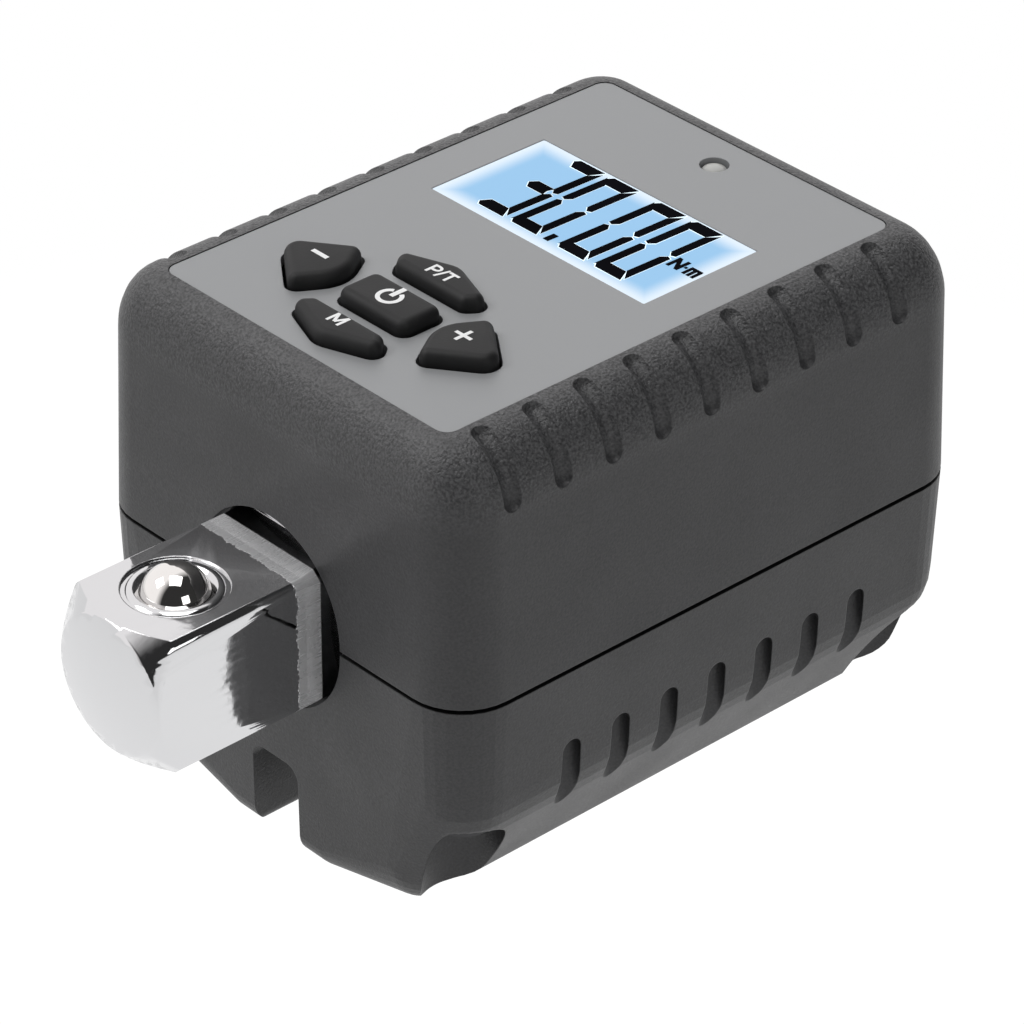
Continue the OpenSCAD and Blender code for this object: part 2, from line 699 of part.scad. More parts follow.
module torque_shaft() color("silver") in_frame() difference() {
    cone_run = drive_len + flange_y + 2 * ov;
    cone_start_r = nose_r - (nose_back + ov) * nose_slope;
    socket_half = socket_af / 2;
    mouth = socket_af / sqrt(2) + slip;
    union() {
        intersection() {
            bar(-drive_len - ov, cone_run, bar_r);
            taper(-drive_len - ov, cone_run, cone_start_r, cone_start_r + cone_run * nose_slope);
            translate([0, dome_r - drive_len, 0]) sphere(dome_r, $fn = 96);
        }
        flange_body(0);
        bar(neck_y - ov, neck_len + 2 * ov, neck_r);
        taper(barrel_y - cone_len, cone_len, neck_r, barrel_r);
        bar(barrel_y, barrel_end - barrel_y - edge_chamfer, barrel_r);
        taper(barrel_end - edge_chamfer, edge_chamfer, barrel_r, barrel_r - edge_chamfer);
    }
    for (a = [0:90:270]) rotate([0, a, 0]) drive_flat();
    detent_bore();
    for (a = [0, 180]) rotate([0, a, 0])
        block([-neck_r - ov, neck_r + ov], [flat_y, flat_y + flat_len], [flat_z, neck_r + ov]);
    block([-1, 1] * socket_half, [barrel_end - socket_depth, barrel_end + ov], [-1, 1] * socket_half);
    taper(barrel_end - socket_lead, socket_lead + ov, mouth - socket_lead, mouth + ov);
    for (a = [0, 180]) rotate([0, a, 0]) translate([0, barrel_end - catch_in, 0])
        cylinder(h = socket_half + catch_depth, r = catch_r);
}

module detent_ball() color("gainsboro") in_frame()
    translate([0, -ball_back, ball_z]) sphere(ball_r, $fn = 64);

// An unbroken tube along a path; ref is a direction that the path never takes
function ring(p, t, ref, r, sides) = let (n = unit(cross(ref, t)), b = cross(t, n))
    [for (k = [0:sides - 1]) p + r * (cos(360 * k / sides) * n + sin(360 * k / sides) * b)];
function tangent(path, i) = unit(path[min(i + 1, len(path) - 1)] - path[max(i - 1, 0)]);
module tube(path, r, sides, ref) {
    m = len(path);
    points = [for (i = [0:m - 1]) each ring(path[i], tangent(path, i), ref, r, sides)];
    walls = [for (i = [0:m - 2], k = [0:sides - 1]) let (a = i * sides + k, b = i * sides + (k + 1) % sides)
        each [[a, a + sides, b], [b, a + sides, b + sides]]];
    polyhedron(points, concat([[for (k = [0:sides - 1]) k]], walls,
        [[for (k = [sides - 1:-1:0]) (m - 1) * sides + k]]));
}
module detent_spring() color("silver") in_frame() translate([0, -ball_back, 0]) {
    low = bore_floor + wire_r;
    high = ball_z - sqrt(pow(ball_r + wire_r + slip, 2) - pow(coil_r, 2));
    steps = coil_turns * coil_steps;
    tube([for (i = [0:steps]) [coil_r * cos(360 * i / coil_steps), coil_r * sin(360 * i / coil_steps),
        low + (high - low) * i / steps]], wire_r, coil_sides, [0, 0, 1]);
}

module strain_gauges() color("goldenrod") in_frame() for (a = [0, 180]) rotate([0, a, 0])
    translate([0, flat_y + flex_land, flat_z])
        block([-gauge_w / 2, gauge_w / 2], [0, gauge_len], [0, gauge_t]);

// The flexible lead from the upper gauge to the plug under the board
module gauge_flex() color("orange") in_frame() {
    foot = flat_z + gauge_t;
    top = board_low - seat_gap;
    half = flex_w / 2;
    block([-half, half], [flex_y, flat_y + flex_land + flex_w], [foot, foot + flex_t]);
    block([-half, half], [flex_y, flex_y + flex_t], [foot, top]);
    block([-half, half], [flex_y - flex_tab, flex_y + flex_t], [top - flex_t, top]);
}

// A cell with its nub towards +Y
module cell() {
    bar(0, cell_len - tip_len, cell_r);
    bar(cell_len - tip_len - ov, tip_len + ov, tip_r);
}
module battery_left() color("steelblue") in_frame() translate([-cell_x, cell_y, -cell_z]) cell();
module battery_right() color("steelblue") in_frame()
    translate([cell_x, case_len - cell_y, -cell_z]) rotate([0, 0, 180]) cell();

// A contact plate with a bent leaf that reaches the cell behind it
module contact(reach) {
    half = contact_half_w - slip;
    block([-half, half], [0, plate_metal], [-half, half]);
    translate([leaf_w / 2, 0, 0]) rotate([90, 0, -90]) linear_extrude(leaf_w) polygon([[-plate_metal, half],
        [-reach, 0], [-reach, -plate_metal], [-plate_metal, half - 2 * plate_metal]]);
}
module battery_bridge() color("gold") in_frame() {
    top = contact_half_w - slip - cell_z;
    for (s = [-1, 1]) translate([s * cell_x, contact_front, -cell_z]) contact(contact_space);
    block([-cell_x, cell_x], [contact_front, contact_front + plate_metal], [top - bridge_h, top]);
}

// The rear contacts have a solder tab that stands up into the bay
module battery_contacts() color("gold") in_frame() both_sides() {
    translate([cell_x, case_len - contact_front, -cell_z]) rotate([0, 0, 180]) contact(contact_space);
    block([lead_x - tab_w / 2, lead_x + tab_w / 2],
        [case_len - contact_front - plate_metal, case_len - contact_front], [-cell_z, -tab_top]);
}

module battery_leads() color("red") in_frame() both_sides() translate([lead_x, lead_y, 0]) {
    low = -tab_top - lead_grip;
    high = board_low - seat_gap;
    tube([for (i = [0:lead_steps]) [lead_bow * (1 - cos(360 * i / lead_steps)) / 2, 0,
        low + (high - low) * i / lead_steps]], lead_r, lead_sides, [0, 1, 0]);
}

module door() difference() {
    door_shape(-slip, door_sink, door_sink + door_t);
    door_nick();
}
module battery_door_right() color("dimgray") in_frame() door();
module battery_door_left() color("dimgray") in_frame() mirror([1, 0, 0]) door();

module case_screws() color("silver") in_frame() at_pockets() difference() {
    union() {
        translate([0, 0, -pocket_roof - screw_head_h]) cylinder(h = screw_head_h, r = screw_head_r);
        translate([0, 0, -pocket_roof]) cylinder(h = pocket_roof + screw_bite, r = screw_r);
    }
    translate([0, 0, -pocket_roof - screw_head_h - ov])
        cylinder(h = socket_key_h + ov, r = socket_key_r, $fn = 6);
}

upper_case();
lower_case();
face_panel();
lcd_window();
lcd_glass();
lcd_backlight();
lcd_connector_strips();
status_led();
keypad_mat();
key_minus();
key_plus();
key_power();
key_mode();
key_peak();
dome_contacts();
main_board();
board_parts();
buzzer();
board_screws();
torque_shaft();
detent_ball();
detent_spring();
strain_gauges();
gauge_flex();
battery_left();
battery_right();
battery_bridge();
battery_contacts();
battery_leads();
battery_door_left();
battery_door_right();
case_screws();
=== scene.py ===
"""Looks of the digital torque adapter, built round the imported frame.

Blender's lengths are metres in the part's frame: +Z up, the male square towards -Y, the origin under the
middle of the object. Sizes of pieces are named in millimetres, and MM turns them into metres.
"""

import json
import logging
import math
from dataclasses import dataclass, field
from enum import Enum
from typing import Iterable, Sequence

import bmesh
import bpy
from mathutils import Matrix, Vector

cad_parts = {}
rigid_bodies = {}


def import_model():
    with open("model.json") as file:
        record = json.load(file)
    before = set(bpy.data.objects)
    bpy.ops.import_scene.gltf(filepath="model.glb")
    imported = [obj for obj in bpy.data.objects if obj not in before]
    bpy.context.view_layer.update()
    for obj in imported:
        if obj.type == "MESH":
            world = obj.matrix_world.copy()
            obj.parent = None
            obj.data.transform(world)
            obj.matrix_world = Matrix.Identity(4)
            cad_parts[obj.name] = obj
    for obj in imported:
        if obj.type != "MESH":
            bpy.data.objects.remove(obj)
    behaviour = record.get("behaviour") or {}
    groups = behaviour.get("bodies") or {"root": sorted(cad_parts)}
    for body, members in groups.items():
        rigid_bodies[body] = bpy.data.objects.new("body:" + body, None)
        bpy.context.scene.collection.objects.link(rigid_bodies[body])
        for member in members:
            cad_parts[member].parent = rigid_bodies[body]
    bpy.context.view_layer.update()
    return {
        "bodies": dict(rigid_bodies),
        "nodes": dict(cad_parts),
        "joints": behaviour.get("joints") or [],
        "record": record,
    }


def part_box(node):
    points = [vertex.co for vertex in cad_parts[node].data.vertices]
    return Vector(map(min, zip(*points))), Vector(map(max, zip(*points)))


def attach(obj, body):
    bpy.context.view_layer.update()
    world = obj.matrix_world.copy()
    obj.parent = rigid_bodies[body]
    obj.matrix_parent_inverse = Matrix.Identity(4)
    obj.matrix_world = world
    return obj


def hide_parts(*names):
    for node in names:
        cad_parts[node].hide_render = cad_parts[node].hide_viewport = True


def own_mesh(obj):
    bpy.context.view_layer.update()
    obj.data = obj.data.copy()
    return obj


LOG = logging.getLogger("torque_adapter")
MM = 0.001
RUN_OUT_Y = -23.0 * MM

# In millimetres: distance of points that are one, height that each further outline of a mark gains, gap
# round the faceplate, and lift of the marks over the keys.
DOUBLES = 0.002
STACK = 0.0015
PLATE_GAP = 0.05
MARK_LIFT = 0.012

# Degrees from which edges stay sharp, and samples of softened edges.
SHARP_STEEL = 20.0
SHARP_SHELL = 35.0
SHARP_WIRE = 40.0
BEVEL_SAMPLES = 6

Point2 = tuple[float, float]
Point3 = tuple[float, float, float]
Colour = tuple[float, float, float]
Stroke = tuple[float, Sequence[Point2]]
Shade = Colour | bpy.types.NodeSocket


class Body(Enum):
    """Rigid bodies of the record that dressed pieces ride on."""

    HOUSING = "housing"
    MINUS = "key_minus"
    PLUS = "key_plus"
    POWER = "key_power"
    MODE = "key_mode"
    PEAK = "key_peak"


class Segment(Enum):
    """Bars of a seven-segment digit."""

    TOP = "top"
    MIDDLE = "middle"
    BOTTOM = "bottom"
    UPPER_LEFT = "upper_left"
    UPPER_RIGHT = "upper_right"
    LOWER_LEFT = "lower_left"
    LOWER_RIGHT = "lower_right"


DIGITS: dict[str, tuple[Segment, ...]] = {
    "0": (Segment.TOP, Segment.UPPER_LEFT, Segment.UPPER_RIGHT, Segment.LOWER_LEFT, Segment.LOWER_RIGHT,
          Segment.BOTTOM),
    "3": (Segment.TOP, Segment.UPPER_RIGHT, Segment.MIDDLE, Segment.LOWER_RIGHT, Segment.BOTTOM),
}


# ---------------------------------------------------------------- materials


class Weave:
    """A thin layer over a material's node tree."""

    def __init__(self, name: str) -> None:
        """Makes an empty material with an output node.

        Args:
            name: Name of the material.
        """
        self.material = bpy.data.materials.new(name)
        self.material.use_nodes = True
        self.tree = self.material.node_tree
        self.tree.nodes.clear()
        self.out = self.tree.nodes.new("ShaderNodeOutputMaterial")

    def node(self, kind: str, **values: object) -> bpy.types.Node:
        """Adds a node and sets its sockets and properties.

        Args:
            kind: Type name of the node without its ShaderNode prefix.
            **values: Socket names with _ for a space, or properties of the node.

        Returns:
            The new node.
        """
        made = self.tree.nodes.new("ShaderNode" + kind)
        for key, value in values.items():
            label = key.replace("_", " ")
            if label in made.inputs:
                made.inputs[label].default_value = value
            else:
                setattr(made, key, value)
        return made

    def link(self, source: bpy.types.NodeSocket, target: bpy.types.NodeSocket) -> None:
        """Joins two sockets.

        Args:
            source: Output socket.
            target: Input socket.
        """
        self.tree.links.new(source, target)

    def place(self) -> bpy.types.NodeSocket:
        """Gives object coordinates, which are metres in the part's frame.

        Returns:
            The coordinate socket.
        """
        return self.node("TexCoord").outputs["Object"]

    def noise(self, at: bpy.types.NodeSocket, scale: float, detail: float = 2.0,
              roughness: float = 0.5) -> bpy.types.NodeSocket:
        """Adds a noise texture.

        Args:
            at: Coordinates to read.
            scale: Features per metre.
            detail: Octaves.
            roughness: Share of the finer octaves.

        Returns:
            The factor socket.
        """
        made = self.node("TexNoise", Scale=scale, Detail=detail, Roughness=roughness)
        self.link(at, made.inputs["Vector"])
        return made.outputs["Fac"]

    def remap(self, value: bpy.types.NodeSocket, low: float, high: float, to_low: float,
              to_high: float) -> bpy.types.NodeSocket:
        """Maps a range of a value onto another.

        Args:
            value: Socket to map.
            low: Value that gives to_low.
            high: Value that gives to_high.
            to_low: Result at low.
            to_high: Result at high.

        Returns:
            The mapped socket.
        """
        made = self.node("MapRange", From_Min=low, From_Max=high, To_Min=to_low, To_Max=to_high)
        self.link(value, made.inputs["Value"])
        return made.outputs["Result"]

    def math(self, operation: str, a: object, b: object = 0.0) -> bpy.types.NodeSocket:
        """Adds a math node.

        Args:
            operation: Name of the operation.
            a: Socket or number.
            b: Socket or number.

        Returns:
            The result socket.
        """
        made = self.node("Math", operation=operation)
        for i, value in enumerate((a, b)):
            if isinstance(value, (int, float)):
                made.inputs[i].default_value = value
            else:
                self.link(value, made.inputs[i])
        return made.outputs[0]

    def mix(self, factor: bpy.types.NodeSocket, a: Shade, b: Shade) -> bpy.types.NodeSocket:
        """Mixes two colours.

        Args:
            factor: Share of b.
            a: First colour, or the socket that gives it.
            b: Second colour, or the socket that gives it.

        Returns:
            The colour socket.
        """
        made = self.node("Mix", data_type="RGBA")
        self.link(factor, made.inputs[0])
        for shade, socket in ((a, made.inputs[6]), (b, made.inputs[7])):
            if isinstance(shade, tuple):
                socket.default_value = (*shade, 1.0)
            else:
                self.link(shade, socket)
        return made.outputs[2]

    def finish(self, bsdf: bpy.types.Node, height: bpy.types.NodeSocket, depth: float,
               edge: float = 0.0) -> bpy.types.Material:
        """Adds relief and softened edges to a shader and ends the material.

        Args:
            bsdf: Shader of the surface.
            height: Relief.
            depth: Depth of the relief in metres.
            edge: Radius of softened edges in metres.

        Returns:
            The material.
        """
        bump = self.node("Bump", Strength=1.0, Distance=depth)
        self.link(height, bump.inputs["Height"])
        if edge:
            bevel = self.node("Bevel", Radius=edge)
            bevel.samples = BEVEL_SAMPLES
            self.link(bevel.outputs["Normal"], bump.inputs["Normal"])
        self.link(bump.outputs["Normal"], bsdf.inputs["Normal"])
        self.link(bsdf.outputs["BSDF"], self.out.inputs["Surface"])
        return self.material


@dataclass(frozen=True)
class Finish:
    """A surface: colours, gloss, grain and softened edges.

    Attributes:
        name: Name of the material.
        colour: Base colour.
        tint: Second colour that cloudy variation mixes in.
        roughness: Lowest and highest roughness.
        metallic: 1 for metal.
        grain: Size of the grain in millimetres.
        relief: Height of the grain in millimetres.
        cloud: Size of the colour variation in millimetres.
        edge: Radius of softened edges in millimetres.
        coat: Weight of a clear coat.
        shine: Strength of the plain reflection.
        glow: Light of its own.
    """

    name: str
    colour: Colour
    tint: Colour
    roughness: tuple[float, float]
    metallic: float = 0.0
    grain: float = 0.3
    relief: float = 0.01
    cloud: float = 6.0
    edge: float = 0.0
    coat: float = 0.0
    shine: float = 0.5
    glow: float = 0.0

    def build(self) -> bpy.types.Material:
        """Builds the material.

        Returns:
            The material.
        """
        w = Weave(self.name)
        at = w.place()
        bsdf = w.node("BsdfPrincipled", Metallic=self.metallic, Specular_IOR_Level=self.shine)
        if self.coat:
            bsdf.inputs["Coat Weight"].default_value = self.coat
            bsdf.inputs["Coat Roughness"].default_value = 0.15
        cloud = w.noise(at, 1.0 / (self.cloud * MM), 3.0)
        w.link(w.mix(w.remap(cloud, 0.35, 0.65, 0.0, 1.0), self.colour, self.tint), bsdf.inputs["Base Color"])
        w.link(w.remap(cloud, 0.3, 0.7, *self.roughness), bsdf.inputs["Roughness"])
        if self.glow:
            bsdf.inputs["Emission Color"].default_value = (*self.tint, 1.0)
            bsdf.inputs["Emission Strength"].default_value = self.glow
        grain = w.noise(at, 1.0 / (self.grain * MM), 2.5, 0.6)
        return w.finish(bsdf, grain, self.relief * MM, self.edge * MM)


@dataclass(frozen=True)
class SparkPlastic:
    """Black ABS with a spark texture that is coarser over the upper edges, where the sparks are painted paler
    as a highlight, and with painted shade in grooves and gaps. Sizes are in millimetres.

    Attributes:
        fine: Size of the finest grain.
        speck: Size of the sparks.
        cloud: Size of the slow changes in gloss.
        upper: Heights between which the sparks grow coarse and take the painted highlight colour.
        pits: Colour between the sparks.
        sparks: Colour of the sparks on the walls.
        painted_top_sheen: Colour of the sparks on the upper edges, paler as a painted highlight where light
            falls on the top.
        painted_hollow_shade: Colour painted deep in grooves and gaps as painted shade.
        painted_shade_reach: How far a wall casts painted shade onto its neighbour.
        gloss: Roughness of the walls, lowest and highest.
        heights: Height of the sparks on the walls and on the upper edges, against the fine grain.
        relief: Depth of the grain.
        edge: Radius of softened edges.
    """

    fine: float = 0.22
    speck: float = 0.23
    cloud: float = 9.0
    upper: Point2 = (40.0, 45.0)
    pits: Colour = (0.026, 0.026, 0.0275)
    sparks: Colour = (0.042, 0.042, 0.044)
    painted_top_sheen: Colour = (0.1, 0.1, 0.103)
    painted_hollow_shade: Colour = (0.008, 0.008, 0.0085)
    painted_shade_reach: float = 1.3
    gloss: Point2 = (0.42, 0.5)
    heights: Point2 = (0.6, 3.4)
    relief: float = 0.03
    edge: float = 0.14

    def build(self) -> bpy.types.Material:
        """Builds the material.

        Returns:
            The material.
        """
        w = Weave("housing_plastic")
        at = w.place()
        bsdf = w.node("BsdfPrincipled", Specular_IOR_Level=0.45)
        fine = w.noise(at, 1.0 / (self.fine * MM), 3.0, 0.6)
        speck = w.noise(at, 1.0 / (self.speck * MM), 1.0, 0.5)
        cloud = w.noise(at, 1.0 / (self.cloud * MM), 3.0)
        xyz = w.node("SeparateXYZ")
        w.link(at, xyz.inputs[0])
        upper = w.remap(xyz.outputs["Z"], self.upper[0] * MM, self.upper[1] * MM, 0.0, 1.0)
        # The sparks turn paler towards the top as a painted highlight.
        bright = w.mix(upper, self.sparks, self.painted_top_sheen)
        black = w.mix(w.remap(speck, 0.3, 0.75, 0.0, 1.0), self.pits, bright)
        # Ambient occlusion darkens the colour in grooves and gaps: painted shade.
        hollow = w.node("AmbientOcclusion", Distance=self.painted_shade_reach * MM)
        open_air = w.remap(hollow.outputs["AO"], 0.45, 0.95, 0.0, 1.0)
        w.link(w.mix(open_air, self.painted_hollow_shade, black), bsdf.inputs["Base Color"])
        dull = w.math("ADD", w.remap(cloud, 0.3, 0.7, *self.gloss), w.remap(fine, 0.3, 0.7, -0.05, 0.05))
        w.link(dull, bsdf.inputs["Roughness"])
        height = w.math("ADD", fine, w.math("MULTIPLY", speck, w.remap(upper, 0.0, 1.0, *self.heights)))
        return w.finish(bsdf, height, self.relief * MM, self.edge * MM)


@dataclass(frozen=True)
class LitWindow:
    """Backlit display: pale blue that turns white towards its borders.

    Attributes:
        low: Lowest corner of the window.
        high: Highest corner of the window.
        border: Width of the white border in millimetres.
        rim: Light at the border.
        inner: Light in the middle.
        glow: Strength of the light.
    """

    low: Vector
    high: Vector
    border: float = 2.2
    rim: Colour = (0.8, 0.9, 1.0)
    inner: Colour = (0.31, 0.57, 0.85)
    glow: float = 0.95

    def build(self) -> bpy.types.Material:
        """Builds the material.

        Returns:
            The material.
        """
        w = Weave("lit_window")
        xyz = w.node("SeparateXYZ")
        w.link(w.place(), xyz.inputs[0])
        spans: list[bpy.types.NodeSocket] = []
        for index, axis in enumerate("XY"):
            middle, half = (self.low[index] + self.high[index]) / 2, (self.high[index] - self.low[index]) / 2
            off = w.math("ABSOLUTE", w.math("SUBTRACT", xyz.outputs[axis], middle))
            spans.append(w.math("SUBTRACT", half, off))
        fade = w.node("MapRange", interpolation_type="SMOOTHSTEP", From_Min=0.0, From_Max=self.border * MM,
                      To_Min=0.0, To_Max=1.0)
        w.link(w.math("MINIMUM", *spans), fade.inputs["Value"])
        bsdf = w.node("BsdfPrincipled", Roughness=0.22, Specular_IOR_Level=0.1, Emission_Strength=self.glow)
        bsdf.inputs["Base Color"].default_value = (0.02, 0.03, 0.04, 1.0)
        w.link(w.mix(fade.outputs["Result"], self.rim, self.inner), bsdf.inputs["Emission Color"])
        w.link(bsdf.outputs["BSDF"], w.out.inputs["Surface"])
        return w.material


@dataclass(frozen=True)
class Chrome:
    """Chrome plate on ground steel, milled rough where the flats run out. Sizes are in millimetres.

    Attributes:
        run_out_y: Where the rough run-outs start, along the shaft, in metres.
        colour: Colour of the plate.
        ragged: Size and depth of the run-outs' ragged front.
        start: Distances over which the rough part starts.
        end: Distances over which it ends.
        wave: Size of the slow waves in the plate.
        scratch: Size of the grinding marks.
        stretch: Scale of the marks along each axis.
        marks: Size of the milling marks.
        milled: Metallic share of the milled part.
        relief: Depth of the marks.
        edge: Radius of softened edges.
    """

    run_out_y: float
    colour: Colour = (0.66, 0.66, 0.67)
    ragged: float = 0.9
    start: Point2 = (0.4, 0.5)
    end: Point2 = (2.3, 2.4)
    wave: float = 2.5
    scratch: float = 0.5
    stretch: Point3 = (1.0, 0.12, 1.0)
    marks: float = 0.35
    milled: float = 0.45
    relief: float = 0.02
    edge: float = 0.12

    def _milled(self, w: Weave, at: bpy.types.NodeSocket) -> bpy.types.NodeSocket:
        """Finds the milled run-outs, with a ragged front.

        Args:
            w: Node tree of the material.
            at: Coordinates.

        Returns:
            1 on the run-outs and 0 elsewhere.
        """
        xyz = w.node("SeparateXYZ")
        w.link(at, xyz.inputs[0])
        along, front = xyz.outputs["Y"], self.run_out_y
        ragged = w.math("MULTIPLY", w.noise(at, 1.0 / (self.ragged * MM), 3.0, 0.7), self.ragged * MM)
        begun = w.remap(w.math("ADD", along, ragged), front + self.start[0] * MM, front + self.start[1] * MM,
                        0.0, 1.0)
        ended = w.remap(along, front + self.end[0] * MM, front + self.end[1] * MM, 1.0, 0.0)
        return w.math("MULTIPLY", begun, ended)

    def build(self) -> bpy.types.Material:
        """Builds the material.

        Returns:
            The material.
        """
        w = Weave("chrome_plate")
        at = w.place()
        bsdf = w.node("BsdfPrincipled")
        bsdf.inputs["Base Color"].default_value = (*self.colour, 1.0)
        rough = self._milled(w, at)
        w.link(w.remap(rough, 0.0, 1.0, 1.0, self.milled), bsdf.inputs["Metallic"])
        stretch = w.node("Mapping")
        stretch.inputs["Scale"].default_value = self.stretch
        w.link(at, stretch.inputs["Vector"])
        scratch = w.noise(stretch.outputs["Vector"], 1.0 / (self.scratch * MM), 3.0)
        w.link(w.math("ADD", w.remap(scratch, 0.4, 0.75, 0.03, 0.12), w.math("MULTIPLY", rough, 0.22)),
               bsdf.inputs["Roughness"])
        wave = w.noise(at, 1.0 / (self.wave * MM), 2.0)
        marks = w.noise(at, 1.0 / (self.marks * MM), 3.0, 0.7)
        height = w.math("ADD", wave, w.math("MULTIPLY", marks, w.remap(rough, 0.0, 1.0, 0.05, 1.6)))
        return w.finish(bsdf, height, self.relief * MM, self.edge * MM)


FINISHES: dict[str, Finish] = {
    "face_panel": Finish("faceplate_grey", (0.255, 0.26, 0.267), (0.265, 0.27, 0.277), (0.42, 0.5),
                         grain=0.15, relief=0.002, cloud=12, edge=0.12),
    "key_rubber": Finish("key_rubber", (0.009, 0.009, 0.0095), (0.014, 0.014, 0.0145), (0.52, 0.62),
                         grain=0.18, relief=0.012, cloud=2.5, edge=0.15, shine=0.3),
    "ink_white": Finish("ink_white", (0.85, 0.85, 0.85), (0.8, 0.8, 0.8), (0.5, 0.6), relief=0.001),
    "ink_black": Finish("ink_black", (0.004, 0.004, 0.005), (0.006, 0.006, 0.008), (0.4, 0.5), relief=0.001,
                        shine=0.0),
    "halo": Finish("ink_halo", (0.1, 0.1, 0.1), (0.78, 0.92, 1.0), (0.4, 0.5), relief=0.001, shine=0.0,
                   glow=0.95),
    "lamp": Finish("lamp_lens", (0.36, 0.36, 0.355), (0.44, 0.44, 0.42), (0.25, 0.35), cloud=1.5,
                   relief=0.004),
    "ball": Finish("ball_steel", (0.75, 0.73, 0.71), (0.8, 0.78, 0.76), (0.03, 0.07), 1.0, relief=0.001),
    "spring": Finish("spring_wire", (0.42, 0.42, 0.43), (0.5, 0.5, 0.5), (0.25, 0.4), 1.0, grain=0.2),
    # Near-black screws: their dark stands in for the shade in the case screws' pockets, painted shade.
    "screws": Finish("dark_screw_painted_shade", (0.045, 0.045, 0.048), (0.07, 0.07, 0.072), (0.4, 0.52), 1.0),
    "contacts": Finish("nickel_contact", (0.66, 0.64, 0.6), (0.74, 0.73, 0.7), (0.2, 0.35), 1.0),
    "domes": Finish("dome_steel", (0.68, 0.68, 0.67), (0.75, 0.75, 0.75), (0.15, 0.25), 1.0),
    "board": Finish("board_green", (0.012, 0.09, 0.035), (0.018, 0.12, 0.05), (0.3, 0.4), cloud=3, coat=0.4),
    "chips": Finish("chip_black", (0.014, 0.014, 0.015), (0.02, 0.02, 0.02), (0.45, 0.6), grain=0.2),
    "gauges": Finish("gauge_film", (0.45, 0.17, 0.03), (0.55, 0.24, 0.05), (0.25, 0.4), cloud=2, coat=0.5),
    "cells": Finish("cell_sleeve", (0.05, 0.055, 0.07), (0.06, 0.065, 0.08), (0.25, 0.35), cloud=8, coat=0.5),
    "leads": Finish("lead_sleeve", (0.35, 0.012, 0.01), (0.4, 0.02, 0.015), (0.4, 0.5), grain=0.4),
    "strips": Finish("contact_rubber", (0.5, 0.16, 0.2), (0.56, 0.2, 0.24), (0.6, 0.7)),
    "glass": Finish("display_glass", (0.45, 0.6, 0.66), (0.5, 0.64, 0.7), (0.05, 0.1), coat=0.6,
                    relief=0.001),
    "backlight": Finish("backlight_diffuser", (0.8, 0.82, 0.84), (0.84, 0.86, 0.88), (0.35, 0.45),
                        relief=0.002),
    "doors": Finish("door_plastic", (0.028, 0.028, 0.0295), (0.036, 0.036, 0.038), (0.5, 0.58), grain=0.22,
                    relief=0.02, edge=0.15),
}
NODE_FINISH: dict[str, str] = {
    "face_panel": "face_panel", "status_led": "lamp", "keypad_mat": "key_rubber", "dome_contacts": "domes",
    "main_board": "board", "board_parts": "chips", "buzzer": "chips", "board_screws": "screws",
    "detent_ball": "ball", "detent_spring": "spring", "strain_gauges": "gauges", "gauge_flex": "gauges",
    "battery_left": "cells", "battery_right": "cells", "battery_bridge": "contacts",
    "battery_contacts": "contacts", "battery_leads": "leads", "battery_door_left": "doors",
    "battery_door_right": "doors", "case_screws": "screws", "lcd_glass": "glass",
    "lcd_backlight": "backlight", "lcd_connector_strips": "strips",
    **{key: "key_rubber" for key in ("key_minus", "key_plus", "key_power", "key_mode", "key_peak")},
}


# ---------------------------------------------------------------- view and light


@dataclass(frozen=True)
class Viewpoint:
    """The photograph's viewpoint.

    Attributes:
        azimuth: Degrees from -Y towards +X.
        elevation: Degrees above the horizon.
        roll: Degrees that the camera is turned about its view.
        distance: Along the view from the anchor.
        shift: Sideways and upward offset from the anchor, in the picture's plane.
        anchor: Point that the distances start from.
        lens: Focal length in millimetres.
        sensor: Width of the picture that the lens is for, in millimetres.
        clip: Nearest and furthest distance shown.
    """

    azimuth: float = 47.43
    elevation: float = 32.64
    roll: float = 0.36
    distance: float = 411.9 * MM
    shift: Point2 = (19.91 * MM, 7.87 * MM)
    anchor: Point3 = (0.0, -20.75 * MM, 24.0 * MM)
    lens: float = 176.84
    sensor: float = 36.0
    clip: Point2 = (0.01, 20.0)

    def build(self) -> None:
        """Makes the camera and sets it as the scene's own."""
        a, e, r = (math.radians(v) for v in (self.azimuth, self.elevation, self.roll))
        back = Vector((math.sin(a) * math.cos(e), -math.cos(a) * math.cos(e), math.sin(e)))
        right = Vector((math.cos(a), math.sin(a), 0.0))
        up = back.cross(right)
        right, up = right * math.cos(r) + up * math.sin(r), up * math.cos(r) - right * math.sin(r)
        data = bpy.data.cameras.new("photo_camera")
        data.lens, data.sensor_width = self.lens, self.sensor
        data.clip_start, data.clip_end = self.clip
        camera = bpy.data.objects.new("photo_camera", data)
        turn = Matrix((right, up, back)).transposed().to_4x4()
        place = Vector(self.anchor) + self.shift[0] * right + self.shift[1] * up + self.distance * back
        camera.matrix_world = Matrix.Translation(place) @ turn
        bpy.context.scene.collection.objects.link(camera)
        bpy.context.scene.camera = camera


@dataclass(frozen=True)
class SoftBox:
    """A rectangular light that looks at the object.

    Attributes:
        name: Name of the light.
        place: Where it stands.
        size: Width and height.
        power: Watts.
        mirrored: Whether polished metal shows it.
        target: What it looks at.
    """

    name: str
    place: Point3
    size: Point2
    power: float
    mirrored: bool = True
    target: Point3 = (0.0, 0.0, 0.02)

    def build(self) -> None:
        """Adds the light."""
        data = bpy.data.lights.new(self.name, "AREA")
        data.shape, data.size, data.size_y = "RECTANGLE", self.size[0], self.size[1]
        data.energy = self.power
        lamp = bpy.data.objects.new(self.name, data)
        lamp.visible_glossy = self.mirrored
        aim = Vector(self.target) - Vector(self.place)
        lamp.matrix_world = Matrix.Translation(self.place) @ aim.to_track_quat("-Z", "Y").to_matrix().to_4x4()
        bpy.context.scene.collection.objects.link(lamp)


